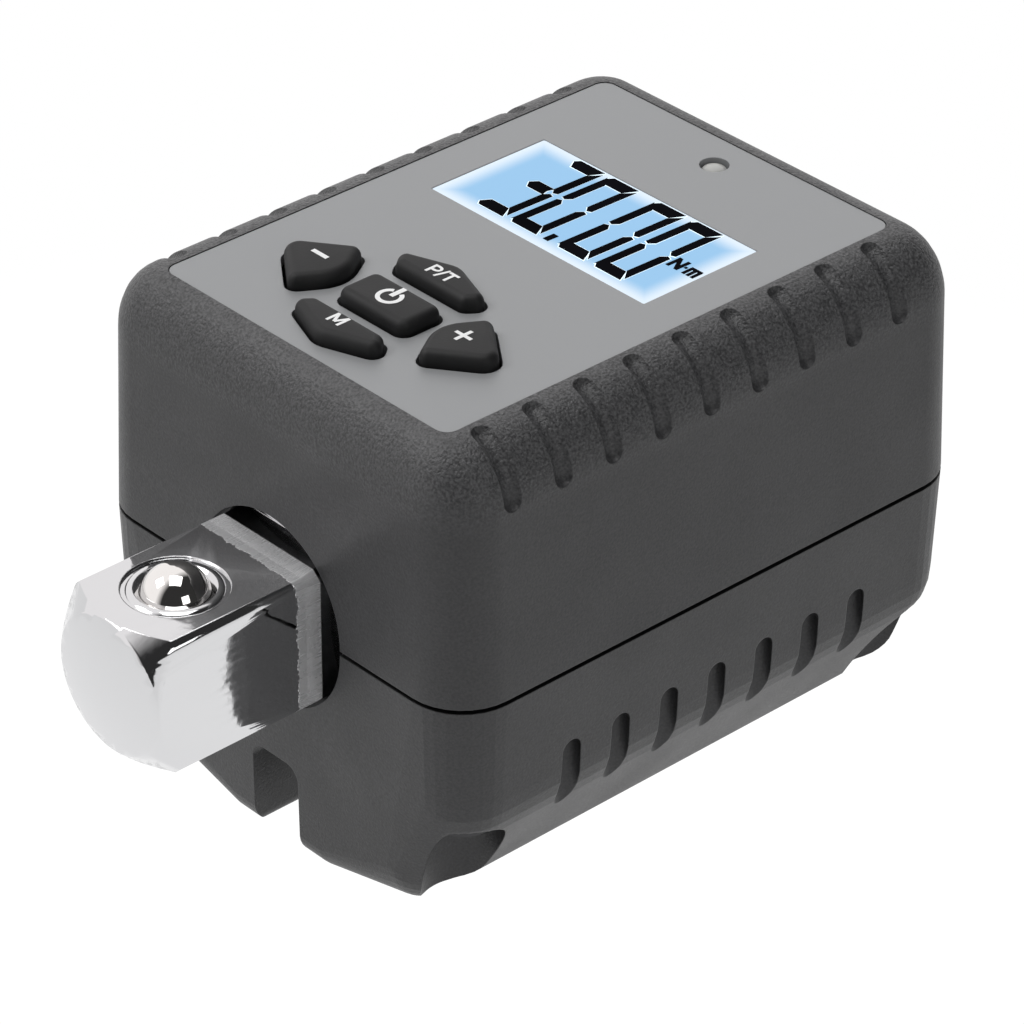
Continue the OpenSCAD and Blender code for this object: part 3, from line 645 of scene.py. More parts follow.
class Studio:
    """Pale floor, white surround for the camera and soft light.

    Polished metal sees a bright sky on its left and a dark one on its right.
    """

    FLOOR_HALF = 1.5
    FLOOR_PAPER = 0.85
    # Painted pool of light seen in polished metal: distances from the middle over which the floor's glow
    # falls, and its strengths there.
    FLOOR_REACH: Point2 = (0.03, 0.16)
    FLOOR_MIRRORED: Point2 = (1.06, 0.94)
    SKY_SPLIT: Point2 = (-0.25, 0.1)
    LEFT_SKY: Colour = (1.12, 1.1, 1.1)
    RIGHT_SKY: Colour = (0.035, 0.035, 0.035)
    SOFT_SKY: Colour = (0.16, 0.16, 0.16)
    WHITE: Colour = (1.0, 1.0, 1.0)
    LIGHTS = (
        SoftBox("back_left_box", (-0.45, 0.42, 0.42), (0.5, 0.45), 2.4, False),
        SoftBox("top_box", (0.05, -0.05, 0.75), (0.45, 0.45), 2.0),
        SoftBox("front_box", (-0.38, -0.4, 0.6), (0.35, 0.3), 2.0),
        SoftBox("right_box", (0.8, -0.1, 0.3), (0.35, 0.35), 0.9),
    )

    def build(self) -> None:
        """Makes the floor, the world and the lights."""
        scene = bpy.context.scene
        scene.view_settings.view_transform = "Standard"
        self._floor()
        self._world()
        for box in self.LIGHTS:
            box.build()

    def _floor(self) -> None:
        """Makes a floor that takes shadows and looks white to the camera and in polished metal, where it
        glows a little brighter near the object as a painted pool of light.
        """
        half = self.FLOOR_HALF
        w = Weave("floor_paper")
        floor = add_mesh("floor", [(-half, -half, 0), (half, -half, 0), (half, half, 0), (-half, half, 0)],
                         [(0, 1, 2, 3)], w.material)
        paper = w.node("BsdfDiffuse", Color=(self.FLOOR_PAPER, self.FLOOR_PAPER, self.FLOOR_PAPER, 1.0))
        glow = w.node("Emission", Strength=1.0)
        path = w.node("LightPath")
        reach = w.node("VectorMath", operation="LENGTH")
        w.link(w.place(), reach.inputs[0])
        # The floor glows a little brighter near the object: a painted pool of light, seen in polished metal.
        painted_pool_glow = w.remap(reach.outputs["Value"], *self.FLOOR_REACH, *self.FLOOR_MIRRORED)
        w.link(w.math("MAXIMUM", path.outputs["Is Camera Ray"], painted_pool_glow), glow.inputs["Strength"])
        seen = w.math("MAXIMUM", path.outputs["Is Camera Ray"], path.outputs["Is Glossy Ray"])
        both = w.node("MixShader")
        w.link(seen, both.inputs[0])
        w.link(paper.outputs[0], both.inputs[1])
        w.link(glow.outputs[0], both.inputs[2])
        w.link(both.outputs[0], w.out.inputs["Surface"])

    def _world(self) -> None:
        """Makes a white surround for the camera, a split sky for metal and a soft one for the rest."""
        world = bpy.data.worlds.new("studio")
        bpy.context.scene.world = world
        world.use_nodes = True
        tree = world.node_tree
        tree.nodes.clear()
        out = tree.nodes.new("ShaderNodeOutputWorld")
        link = tree.links.new
        path = tree.nodes.new("ShaderNodeLightPath")

        def sky(colour: Colour) -> bpy.types.Node:
            """Adds a plain sky.

            Args:
                colour: Its colour.

            Returns:
                The node.
            """
            node = tree.nodes.new("ShaderNodeBackground")
            node.inputs["Color"].default_value = (*colour, 1.0)
            return node

        def pick(factor: bpy.types.NodeSocket, a: bpy.types.Node, b: bpy.types.Node) -> bpy.types.Node:
            """Chooses between two skies.

            Args:
                factor: 0 for the first and 1 for the second.
                a: First sky.
                b: Second sky.

            Returns:
                The node.
            """
            node = tree.nodes.new("ShaderNodeMixShader")
            link(factor, node.inputs[0])
            link(a.outputs[0], node.inputs[1])
            link(b.outputs[0], node.inputs[2])
            return node

        way = tree.nodes.new("ShaderNodeSeparateXYZ")
        link(tree.nodes.new("ShaderNodeTexCoord").outputs["Generated"], way.inputs[0])
        side = tree.nodes.new("ShaderNodeMapRange")
        side.inputs["From Min"].default_value, side.inputs["From Max"].default_value = self.SKY_SPLIT
        link(way.outputs["X"], side.inputs["Value"])
        tent = pick(side.outputs["Result"], sky(self.LEFT_SKY), sky(self.RIGHT_SKY))
        shown = pick(path.outputs["Is Glossy Ray"], sky(self.SOFT_SKY), tent)
        white = pick(path.outputs["Is Camera Ray"], shown, sky(self.WHITE))
        link(white.outputs[0], out.inputs["Surface"])


# ---------------------------------------------------------------- shapes


def add_mesh(name: str, points: Sequence[Point3], faces: Sequence[Sequence[int]],
             material: bpy.types.Material) -> bpy.types.Object:
    """Links a mesh object with one material.

    Args:
        name: Name of the piece.
        points: Vertices in metres.
        faces: Vertex numbers of each face.
        material: Its material.

    Returns:
        The object.
    """
    mesh = bpy.data.meshes.new(name)
    mesh.from_pydata(points, [], faces)
    mesh.materials.append(material)
    made = bpy.data.objects.new(name, mesh)
    bpy.context.scene.collection.objects.link(made)
    return made


def loft(name: str, rings: Sequence[Sequence[Point3]], material: bpy.types.Material,
         around: bool = False) -> bpy.types.Object:
    """Joins rings of equal length to one skin.

    Args:
        name: Name of the piece.
        rings: Closed rings in order, in millimetres.
        material: Its material.
        around: Whether the last ring is joined to the first, in place of an end face at both.

    Returns:
        The object.
    """
    n, m = len(rings[0]), len(rings)
    points = [tuple(v * MM for v in p) for ring in rings for p in ring]
    faces = [[a * n + k, a * n + (k + 1) % n, b * n + (k + 1) % n, b * n + k]
             for a, b in [(i, (i + 1) % m) for i in range(m if around else m - 1)] for k in range(n)]
    if not around:
        faces += [list(reversed(range(n))), [(m - 1) * n + k for k in range(n)]]
    made = add_mesh(name, points, faces, material)
    tidy_mesh(made.data)
    return made


def face_outwards(mesh: bpy.types.Mesh, merge: float = 0.0) -> None:
    """Turns the faces of a closed mesh outwards.

    Args:
        mesh: Mesh to change.
        merge: Distance in metres under which its points are merged first.
    """
    bm = bmesh.new()
    bm.from_mesh(mesh)
    if merge:
        bmesh.ops.remove_doubles(bm, verts=bm.verts, dist=merge)
    bmesh.ops.recalc_face_normals(bm, faces=bm.faces)
    bm.to_mesh(mesh)
    bm.free()


def tidy_mesh(mesh: bpy.types.Mesh, angle: float = 30.0) -> None:
    """Merges doubles, turns the faces outwards and shades all but the sharp edges smooth.

    Args:
        mesh: Mesh to change.
        angle: Degrees from which an edge stays sharp.
    """
    face_outwards(mesh, DOUBLES * MM)
    mesh.shade_smooth()
    mesh.set_sharp_from_angle(angle=math.radians(angle))


def cut(target: bpy.types.Object, cutters: Sequence[bpy.types.Object], angle: float = 30.0) -> None:
    """Takes cutters out of a piece, removes them and lets the large faces rule the shading.

    Args:
        target: Piece that is cut.
        cutters: Closed pieces to take away.
        angle: Degrees from which an edge stays sharp.
    """
    for cutter in cutters:
        held = target.modifiers.new("cut", "BOOLEAN")
        held.operation, held.solver, held.object = "DIFFERENCE", "EXACT", cutter
    bpy.context.view_layer.update()
    shaped = target.evaluated_get(bpy.context.evaluated_depsgraph_get())
    old, target.data = target.data, bpy.data.meshes.new_from_object(shaped)
    target.modifiers.clear()
    bpy.data.meshes.remove(old)
    for cutter in cutters:
        bpy.data.objects.remove(cutter)
    tidy_mesh(target.data, angle)
    held = target.modifiers.new("weighted", "WEIGHTED_NORMAL")
    held.mode, held.weight, held.keep_sharp = "FACE_AREA", 100, True


def copy_of(node: bpy.types.Object, name: str, angle: float = 30.0) -> bpy.types.Object:
    """Copies a node's mesh into a smooth piece of its own.

    Args:
        node: Node to copy.
        name: Name of the piece.
        angle: Degrees from which an edge stays sharp.

    Returns:
        The piece.
    """
    made = bpy.data.objects.new(name, node.data.copy())
    bpy.context.scene.collection.objects.link(made)
    tidy_mesh(made.data, angle)
    return made


def corner_ring(half: Point2, radius: float, middle: Point2, z: float, steps: int = 8) -> list[Point3]:
    """Makes a rectangle with rounded corners.

    Args:
        half: Half of both sides.
        radius: Radius of the corners.
        middle: Its middle.
        z: Its height.
        steps: Segments of a corner.

    Returns:
        Points in millimetres.
    """
    ring: list[Point3] = []
    for quarter, (sx, sy) in enumerate(((1, 1), (-1, 1), (-1, -1), (1, -1))):
        for i in range(steps + 1):
            a = math.radians(90 * (quarter + i / steps))
            ring.append((middle[0] + sx * (half[0] - radius) + radius * math.cos(a),
                         middle[1] + sy * (half[1] - radius) + radius * math.sin(a), z))
    return ring


def top_of(node: str) -> Vector:
    """Finds the middle of a node's top.

    Args:
        node: Name of the node.

    Returns:
        The point.
    """
    low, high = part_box(node)
    return Vector(((low.x + high.x) / 2, (low.y + high.y) / 2, high.z))


def full_turn(steps: int) -> list[float]:
    """Gives evenly spread angles of a full turn.

    Args:
        steps: How many.

    Returns:
        Angles in radians.
    """
    return [math.radians(360 * i / steps) for i in range(steps)]


def arc(centre: Point2, radii: Point2, first: float, last: float, steps: int) -> list[Point2]:
    """Makes an arc, clockwise from the top.

    Args:
        centre: Its centre.
        radii: Its radii across and upwards.
        first: First angle in degrees.
        last: Last angle in degrees.
        steps: Segments.

    Returns:
        Points of the arc.
    """
    angles = [math.radians(first + (last - first) * i / steps) for i in range(steps + 1)]
    return [(centre[0] + radii[0] * math.sin(a), centre[1] + radii[1] * math.cos(a)) for a in angles]


@dataclass(frozen=True)
class UpperShell:
    """The upper half of the housing, in millimetres from the floor and the frame's middle.

    Attributes:
        half: Half width and half length at the parting line.
        middle_y: Middle of the length.
        plate_half: Half width and half length of the faceplate's pocket.
        plate_y: Middle of the pocket.
        axis_z: Height of the shaft axis.
        gap: Half of the parting gap.
        top: Height of the rim over the axis.
        corner: Radius of the upright corners.
        crown: Height of the rounded top edge.
        draft: Lean of the walls.
        wall: Thickness of the walls.
        plate_drop: Depth of the pocket.
        pocket_corner: Radius of the pocket's corners.
        ledge: Width of the ledge that carries the faceplate.
        roof: Thickness under the pocket.
        openings: Radii of the front and the rear shaft opening.
        cut_depth: How far the openings' cutters reach to both sides of a face.
        steps: Segments of the rounded top edge.
        sides: Segments of an opening.
    """

    half: Point2
    middle_y: float
    plate_half: Point2
    plate_y: float
    axis_z: float = 24.0
    gap: float = 0.2
    top: float = 23.06
    corner: float = 5.3
    crown: float = 6.2
    draft: float = 0.55
    wall: float = 2.3
    plate_drop: float = 1.06
    pocket_corner: float = 1.2
    ledge: float = 1.2
    roof: float = 1.8
    openings: Point2 = (8.9, 11.8)
    cut_depth: float = 4.0
    steps: int = 18
    sides: int = 64

    def ring(self, inset: float, z: float) -> list[Point3]:
        """Gives the housing's outline.

        Args:
            inset: Distance inside the outline at the parting line.
            z: Height over the axis.

        Returns:
            The ring.
        """
        return corner_ring((self.half[0] - inset, self.half[1] - inset), self.corner - inset,
                           (0.0, self.middle_y), self.axis_z + z)

    def pocket(self, inset: float, z: float) -> list[Point3]:
        """Gives the outline of the faceplate's pocket.

        Args:
            inset: Distance inside it.
            z: Height over the axis.

        Returns:
            The ring.
        """
        return corner_ring((self.plate_half[0] - inset, self.plate_half[1] - inset), self.pocket_corner,
                           (0.0, self.plate_y), self.axis_z + z)

    def build(self, plastic: bpy.types.Material) -> bpy.types.Object:
        """Makes the shell with its shaft openings and grooves.

        Args:
            plastic: Its material.

        Returns:
            The piece.
        """
        spring = self.top - self.crown
        low, high = self.ring(self.draft, spring), self.pocket(0.0, self.top)
        rings = [self.ring(0.0, self.gap), self.ring(self.draft / 2, (self.gap + spring) / 2)]
        for i in range(self.steps + 1):
            t = math.radians(90 * i / self.steps)
            share, rise = math.cos(t), self.axis_z + spring + self.crown * math.sin(t)
            rings.append([(b[0] + (a[0] - b[0]) * share, b[1] + (a[1] - b[1]) * share, rise)
                          for a, b in zip(low, high)])
        floor = self.top - self.plate_drop
        inward = self.wall + self.draft
        rings += [self.pocket(0.0, floor), self.pocket(self.ledge, floor),
                  self.pocket(self.ledge, floor - self.roof), self.ring(inward, floor - self.roof),
                  self.ring(inward, self.gap)]
        shell = loft("upper_shell", rings, plastic, around=True)
        holes = [self._opening(name, side, radius, plastic) for name, side, radius in
                 zip(("front_opening", "rear_opening"), (-1, 1), self.openings)]
        cut(shell, [*holes, *Grooves(self).build(plastic)], SHARP_SHELL)
        return shell

    def _opening(self, name: str, side: int, radius: float, plastic: bpy.types.Material) -> bpy.types.Object:
        """Makes the cutter of a shaft opening.

        Args:
            name: Its name.
            side: -1 for the front and 1 for the rear.
            radius: Radius of the opening.
            plastic: Material of the cut faces.

        Returns:
            The cutter.
        """
        face = self.middle_y + side * self.half[1]
        return loft(name, [[(radius * math.cos(a), y, self.axis_z + radius * math.sin(a))
                            for a in full_turn(self.sides)]
                           for y in (face - self.cut_depth, face + self.cut_depth)], plastic)


@dataclass(frozen=True)
class Grooves:
    """Finger grooves over both upper edges, in millimetres.

    Attributes:
        shell: Shell that they are cut into.
        count: Grooves on one side.
        pitch: Distance from groove to groove.
        middle_y: Where the middle one lies.
        radius: Radius of a groove.
        depth: Its depth.
        ends: Angles of its ends round the top edge.
        sides: Segments of its section.
        steps: Segments along it.
        cap_steps: Segments of a round end.
        least: Least share of the radius, at the very end.
    """

    shell: UpperShell
    count: int = 9
    pitch: float = 5.42
    middle_y: float = 7.4
    radius: float = 1.05
    depth: float = 0.62
    ends: Point2 = (13.0, 75.0)
    sides: int = 20
    steps: int = 16
    cap_steps: int = 6
    least: float = 0.02

    def _station(self, angle: float, size: float, side: int, y: float) -> list[Point3]:
        """Gives a section of a groove's cutter.

        Args:
            angle: Degrees round the top edge, 90 being on the faceplate's side.
            size: Radius of the section.
            side: -1 for the left edge and 1 for the right.
            y: Where the groove lies along the housing.

        Returns:
            The ring.
        """
        shell = self.shell
        a, h = shell.half[0] - shell.draft - shell.plate_half[0], shell.crown
        c, s = math.cos(math.radians(angle)), math.sin(math.radians(angle))
        out = Vector((c / a, s / h)).normalized()
        foot = Vector((shell.plate_half[0] + a * c, shell.axis_z + shell.top - h + h * s))
        ring: list[Point3] = []
        for b in full_turn(self.sides):
            at = foot + out * (self.radius - self.depth + size * math.cos(b))
            ring.append((side * at.x, y + size * math.sin(b), at.y))
        return ring

    def _cutter(self, side: int, y: float, name: str, material: bpy.types.Material) -> bpy.types.Object:
        """Makes the cutter of one groove, with round ends.

        Args:
            side: -1 for the left edge and 1 for the right.
            y: Where the groove lies along the housing.
            name: Name of the cutter.
            material: Material of the cut faces.

        Returns:
            The cutter.
        """
        first, last = self.ends
        cap = math.degrees(self.radius / self.shell.crown)
        tips = [(cap * math.cos(t), max(math.sin(t), self.least) * self.radius) for t in
                (math.radians(90 / self.cap_steps * i) for i in range(self.cap_steps))]
        stations = [(first - off, size) for off, size in tips]
        stations += [(first + (last - first) * i / self.steps, self.radius) for i in range(self.steps + 1)]
        stations += [(last + off, size) for off, size in reversed(tips)]
        return loft(name, [self._station(a, size, side, y) for a, size in stations], material)

    def build(self, material: bpy.types.Material) -> list[bpy.types.Object]:
        """Makes the cutters.

        Args:
            material: Material of the cut faces.

        Returns:
            The cutters.
        """
        return [self._cutter(side, self.middle_y + (i - (self.count - 1) / 2) * self.pitch,
                             f"groove_{i}_{side + 1}", material)
                for side in (-1, 1) for i in range(self.count)]


def rounded(corners: Sequence[Point2], radii: Sequence[float], grow: float = 0.0,
            steps: int = 12) -> list[Point2]:
    """Rounds the corners of a convex outline and grows it.

    Args:
        corners: Its corners in order.
        radii: Radius of each corner.
        grow: Distance that the outline is moved outwards.
        steps: Segments of a corner.

    Returns:
        The outline.
    """
    outline: list[Point2] = []
    for i, corner in enumerate(corners):
        p = Vector(corner)
        u = (Vector(corners[i - 1]) - p).normalized()
        v = (Vector(corners[(i + 1) % len(corners)]) - p).normalized()
        half = math.acos(max(-1.0, min(1.0, u.dot(v)))) / 2
        centre = p + (u + v).normalized() * radii[i] / math.sin(half)
        start = p + u * (radii[i] / math.tan(half)) - centre
        first = math.atan2(start.y, start.x)
        sweep = math.pi - 2 * half
        for k in range(steps + 1):
            a = first + sweep * k / steps
            radius = radii[i] + grow
            outline.append((centre.x + radius * math.cos(a), centre.y + radius * math.sin(a)))
    return outline


@dataclass(frozen=True)
class KeyCap:
    """Soft top of a key, in millimetres from the keypad's middle.

    Attributes:
        body: Body that it rides on.
        corners: Corners of its outline.
        radii: Radii of the corners.
        foot: How far it reaches below the key's top.
        upright: Upright part over the faceplate.
        height: Height over the faceplate.
        inset: How far the top is inset by its round edge.
        skin: Distance outside the solid key.
        steps: Segments of the round edge.
    """

    body: Body
    corners: tuple[Point2, ...]
    radii: tuple[float, ...]
    foot: float = 2.0
    upright: float = 0.4
    height: float = 1.3
    inset: float = 0.75
    skin: float = 0.02
    steps: int = 8

    def build(self, middle: Vector, rubber: bpy.types.Material) -> bpy.types.Object:
        """Makes the cap.

        Args:
            middle: The keypad's middle on the key tops, in metres.
            rubber: Its material.

        Returns:
            The piece.
        """
        base = Vector((middle.x / MM, middle.y / MM, middle.z / MM - self.height))
        levels = [(self.skin, self.height - self.foot), (self.skin, self.upright)]
        for i in range(1, self.steps + 1):
            t = math.radians(90 * i / self.steps)
            levels.append((self.skin - self.inset * (1 - math.cos(t)),
                           self.upright + (self.height + self.skin / 2 - self.upright) * math.sin(t)))
        rings = [[(base.x + x, base.y + y, base.z + z) for x, y in rounded(self.corners, self.radii, grow)]
                 for grow, z in levels]
        return loft("cap_" + self.body.value, rings, rubber)


def turned(corners: Sequence[Point2], sx: int, sy: int) -> tuple[Point2, ...]:
    """Mirrors an outline and keeps its direction.

    Args:
        corners: Its corners.
        sx: -1 to mirror from left to right.
        sy: -1 to mirror from top to bottom.

    Returns:
        The corners.
    """
    flipped = [(sx * x, sy * y) for x, y in corners]
    return tuple(flipped if sx * sy > 0 else flipped[::-1])


POWER_CORNERS: tuple[Point2, ...] = ((4.1, -2.2), (4.1, 2.2), (-4.1, 2.2), (-4.1, -2.2))
WING_CORNERS: tuple[Point2, ...] = ((13.4, 0.0), (7.9, 4.1), (5.4, 0.0), (7.9, -4.1))
WING_RADII: tuple[float, ...] = (1.3, 0.8, 3.4, 0.8)
CAP_CORNERS: tuple[Point2, ...] = ((-4.15, 4.2), (4.15, 4.2), (5.45, 5.85), (0.0, 7.85), (-5.45, 5.85))
CAP_RADII: tuple[float, ...] = (0.8, 0.8, 0.8, 2.2, 0.8)
KEY_CAPS: tuple[KeyCap, ...] = (
    KeyCap(Body.POWER, POWER_CORNERS, (0.9, 0.9, 0.9, 0.9)),
    KeyCap(Body.PLUS, WING_CORNERS, WING_RADII),
    KeyCap(Body.MINUS, turned(WING_CORNERS, -1, 1), WING_RADII[::-1]),
    KeyCap(Body.PEAK, CAP_CORNERS, CAP_RADII),
    KeyCap(Body.MODE, turned(CAP_CORNERS, 1, -1), CAP_RADII[::-1]),
)


@dataclass(frozen=True)
class Lens:
    """Domed lens of the lamp, in millimetres.

    Attributes:
        radius: Its radius.
        depth: Depth of its foot under the faceplate.
        dome: Its section: share of the radius and height over the foot.
        sides: Segments round it.
    """

    radius: float = 1.18
    depth: float = 1.0
    dome: tuple[Point2, ...] = ((1.0, -0.05), (1.0, 0.3), (0.95, 0.5), (0.8, 0.66), (0.55, 0.78),
                                (0.3, 0.84), (0.05, 0.86))
    sides: int = 36

    def build(self, material: bpy.types.Material) -> bpy.types.Object:
        """Makes the lens over the lamp.

        Args:
            material: Its material.

        Returns:
            The piece.
        """
        lamp, foot = top_of("status_led") / MM, top_of("face_panel").z / MM - self.depth
        rings = [[(lamp.x + self.radius * share * math.cos(a), lamp.y + self.radius * share * math.sin(a),
                   foot + rise) for a in full_turn(self.sides)] for share, rise in self.dome]
        return loft("lamp_dome", rings, material)


@dataclass(frozen=True)
class DetentSpring:
    """Wound spring under the ball, which shortens as the ball goes down its bore.

    Attributes:
        travel: How far the ball goes down, in millimetres. Not used.
        joint: Joint of the ball. Not used.
    """

    travel: float = 2.0
    joint: str = "detent_press"

    def build(self, node: bpy.types.Object) -> bpy.types.Object:
        """Makes the spring from its solid.

        Args:
            node: The solid.

        Returns:
            The piece.
        """
        spring = copy_of(node, "detent_coil", SHARP_WIRE)
        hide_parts("detent_spring")
        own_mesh(spring)
        return spring


@dataclass(frozen=True)
class DriveRunOut:
    """Slopes on which the flats of the male square run out, in millimetres.

    Attributes:
        face_y: The housing's front.
        axis_z: Height of the shaft axis.
        slope: Distance behind the front and distance from the axis of each corner.
        half: Half width of the cutters.
        tip_y: Tip of the square.
        nose: Section of the ring that bevels the tip: distance from the axis and behind the tip.
        sides: Segments of the ring.
    """

    face_y: float = -20.75
    axis_z: float = 24.0
    slope: tuple[Point2, ...] = ((-1.5, 6.36), (0.0, 6.5), (2.2, 6.7), (2.2, 9.6), (-1.5, 9.6))
    half: float = 9.0
    tip_y: float = -38.15
    nose: tuple[Point2, ...] = ((5.4, -0.3), (6.28, 0.8), (8.98, 2.9), (9.8, 2.9), (9.8, -0.3))
    sides: int = 96

    def cutters(self, steel: bpy.types.Material) -> list[bpy.types.Object]:
        """Makes a cutter for each flat.

        Args:
            steel: Material of the cut faces.

        Returns:
            The cutters.
        """
        made: list[bpy.types.Object] = []
        for quarter in range(4):
            c, s = (round(f(math.radians(90 * quarter))) for f in (math.cos, math.sin))
            rings = [[(c * x + s * z, self.face_y + y, self.axis_z - s * x + c * z) for y, z in self.slope]
                     for x in (-self.half, self.half)]
            made.append(loft(f"run_out_{quarter}", rings, steel))
        rings = [[(radius * math.cos(a), self.tip_y + y, self.axis_z + radius * math.sin(a))
                  for a in full_turn(self.sides)] for radius, y in self.nose]
        return [*made, loft("nose_bevel", rings, steel, around=True)]


@dataclass
class Print:
    """Flat marks on a level face, given as outlines in millimetres.

    Attributes:
        name: Name of the piece.
        origin: Where the outlines' zero lies, in metres.
        material: Ink of the marks.
        thickness: Height of the ink in millimetres.
    """

    name: str
    origin: Vector
    material: bpy.types.Material
    thickness: float = 0.02
    outlines: list[list[Point2]] = field(default_factory=list)

    def add(self, outline: Iterable[Point2]) -> None:
        """Adds one closed outline.

        Args:
            outline: Its corners in order.
        """
        self.outlines.append(list(outline))

    def line(self, path: Sequence[Point2], width: float) -> None:
        """Adds a stroke along a path.

        Args:
            path: Points of the stroke's middle.
            width: Width of the stroke.
        """
        left: list[Point2] = []
        right: list[Point2] = []
        for i, p in enumerate(path):
            a, b = Vector(path[max(i - 1, 0)]), Vector(path[min(i + 1, len(path) - 1)])
            side = (b - a).normalized().orthogonal() * (width / 2)
            left.append((p[0] + side.x, p[1] + side.y))
            right.append((p[0] - side.x, p[1] - side.y))
        self.add(left + right[::-1])

    def lines(self, strokes: Iterable[Stroke]) -> None:
        """Adds strokes.

        Args:
            strokes: Width and path of each.
        """
        for width, path in strokes:
            self.line(path, width)

    def build(self) -> bpy.types.Object:
        """Makes the marks as one thin solid.

        Returns:
            The object.
        """
        points: list[Point3] = []
        faces: list[list[int]] = []
        for i, outline in enumerate(self.outlines):
            n, base = len(outline), len(points)
            for level in (0.0, self.thickness + STACK * i):
                points += [tuple(self.origin + Vector((x, y, level)) * MM) for x, y in outline]
            faces.append([base + n + k for k in range(n)])
            faces.append([base + k for k in reversed(range(n))])
            faces += [[base + k, base + (k + 1) % n, base + n + (k + 1) % n, base + n + k] for k in range(n)]
        made = add_mesh(self.name, points, faces, self.material)
        face_outwards(made.data)
        return made


@dataclass(frozen=True)
class DigitForm:
    """Proportions of a digit in millimetres.

    Attributes:
        width: Outer width.
        height: Outer height.
        flat: Thickness of the level bars.
        upright: Thickness of the upright bars.
        gap: Gap between bars.
        lean: Sideways lean over the height.
        slant: How far the ends of level bars slant, as a share of their thickness.
        bevel: Bevel of the outer corners, as a share of the same thickness.
        inner: Share of the slant on the left of the top and bottom bars.
        point: Share of the slant at the left point of the middle bar.
        cuts: Corners of an upright bar from its ends, as shares of its thickness: outer far and near,
            inner near and far.
    """

    width: float = 3.6
    height: float = 11.5
    flat: float = 1.35
    upright: float = 0.9
    gap: float = 0.12
    lean: float = 0.33
    slant: float = 0.62
    bevel: float = 0.35
    inner: float = 0.8
    point: float = 0.4
    cuts: tuple[float, float, float, float] = (0.25, 0.2, 0.6, 1.5)

    def bar(self, which: Segment, grow: float = 0.0) -> list[Point2]:
        """Outline of one bar from the digit's lower left corner.

        Args:
            which: The bar.
            grow: How far the outline is grown.

        Returns:
            Corners in order.
        """
        w, h, f, u, g = self.width, self.height, self.flat, self.upright, self.gap
        mid, slant, bevel = h / 2, f * self.slant, f * self.bevel
        flats = {
            Segment.TOP: [(g, h - bevel), (bevel, h), (w - g, h), (w - slant, h - f),
                          (slant * self.inner, h - f)],
            Segment.BOTTOM: [(g, bevel), (slant * self.inner, f), (w - slant, f), (w - g, 0), (bevel, 0)],
            Segment.MIDDLE: [(slant * self.point, mid), (slant, mid + f / 2), (w - slant, mid + f / 2),
                             (w - u - g, mid), (w - slant, mid - f / 2), (slant, mid - f / 2)],
        }
        if which in flats:
            shape = flats[which]
        else:
            upper = which in (Segment.UPPER_LEFT, Segment.UPPER_RIGHT)
            low, high = (mid + g, h - g) if upper else (g, mid - g)
            near, far = (low, high) if upper else (high, low)
            step = u if upper else -u
            outer_far, outer_near, inner_near, inner_far = (step * share for share in self.cuts)
            shape = [(w, far - outer_far), (w, near + outer_near), (w - u / 2, near),
                     (w - u, near + inner_near), (w - u, far - inner_far)]
            if which in (Segment.UPPER_LEFT, Segment.LOWER_LEFT):
                shape = [(w - x, y) for x, y in shape]
        middle = Vector((sum(p[0] for p in shape) / len(shape), sum(p[1] for p in shape) / len(shape)))
        grown: list[Point2] = []
        for x, y in shape:
            away = Vector((x, y)) - middle
            away = Vector((x, y)) + away.normalized() * grow
            grown.append((away.x + self.lean * away.y / h, away.y))
        return grown


UNIT_FOOT = 5.8
UNIT_STEM = UNIT_FOOT + 1.7
UNIT_SHOULDER = UNIT_FOOT + 1.15
UNIT_STROKES: tuple[Stroke, ...] = (
    (0.4, ((9.6, UNIT_FOOT), (9.65, UNIT_STEM))),
    (0.4, ((9.65, UNIT_STEM - 0.1), (10.55, UNIT_FOOT + 0.1))),
    (0.4, ((10.55, UNIT_FOOT), (10.6, UNIT_STEM))),
    (0.3, ((10.85, UNIT_FOOT + 0.85), (11.15, UNIT_FOOT + 0.85))),
    *((0.36, ((x, UNIT_FOOT), (x, UNIT_SHOULDER))) for x in (11.45, 11.95, 12.45)),
    (0.36, ((11.3, UNIT_SHOULDER), (12.6, UNIT_SHOULDER))),
)


@dataclass(frozen=True)
class Display:
    """The reading on the lit window, in millimetres from the middle of the window's front edge.

    Attributes:
        ink: Dark of the digits.
        halo: Pale line round each bar.
        form: Proportions of the digits.
        starts: Each digit and where it starts.
        foot: Foot of the digits.
        point: Outline of the decimal point.
        halo_width: Width of the pale line.
        halo_height: Its height over the window.
        ink_height: Height of the ink over that.
    """

    ink: bpy.types.Material
    halo: bpy.types.Material
    form: DigitForm = DigitForm()
    starts: tuple[tuple[str, float], ...] = (("3", -8.9), ("0", -4.75), ("0", 1.0), ("0", 5.4))
    foot: float = 1.2
    point: tuple[Point2, ...] = ((-0.45, 1.2), (0.15, 1.2), (0.2, 2.4), (-0.4, 2.4))
    halo_width: float = 0.09
    halo_height: float = 0.01
    ink_height: float = 0.015

    def build(self) -> list[bpy.types.Object]:
        """Makes the digits, the point and the unit.

        Returns:
            The pieces.
        """
        low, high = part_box("lcd_window")
        origin = Vector(((low.x + high.x) / 2, low.y, high.z))
        over = origin + Vector((0, 0, self.halo_height * MM))
        glow = Print("display_halo", origin, self.halo, self.halo_height)
        marks = Print("display_digits", over, self.ink, self.ink_height)
        unit = Print("display_unit", over, self.ink, self.ink_height)
        for digit, x in self.starts:
            for which in DIGITS[digit]:
                for sheet, grow in ((glow, self.halo_width), (marks, 0.0)):
                    sheet.add((x + px, self.foot + py) for px, py in self.form.bar(which, grow))
        marks.add(self.point)
        unit.lines(UNIT_STROKES)
        return [glow.build(), marks.build(), unit.build()]


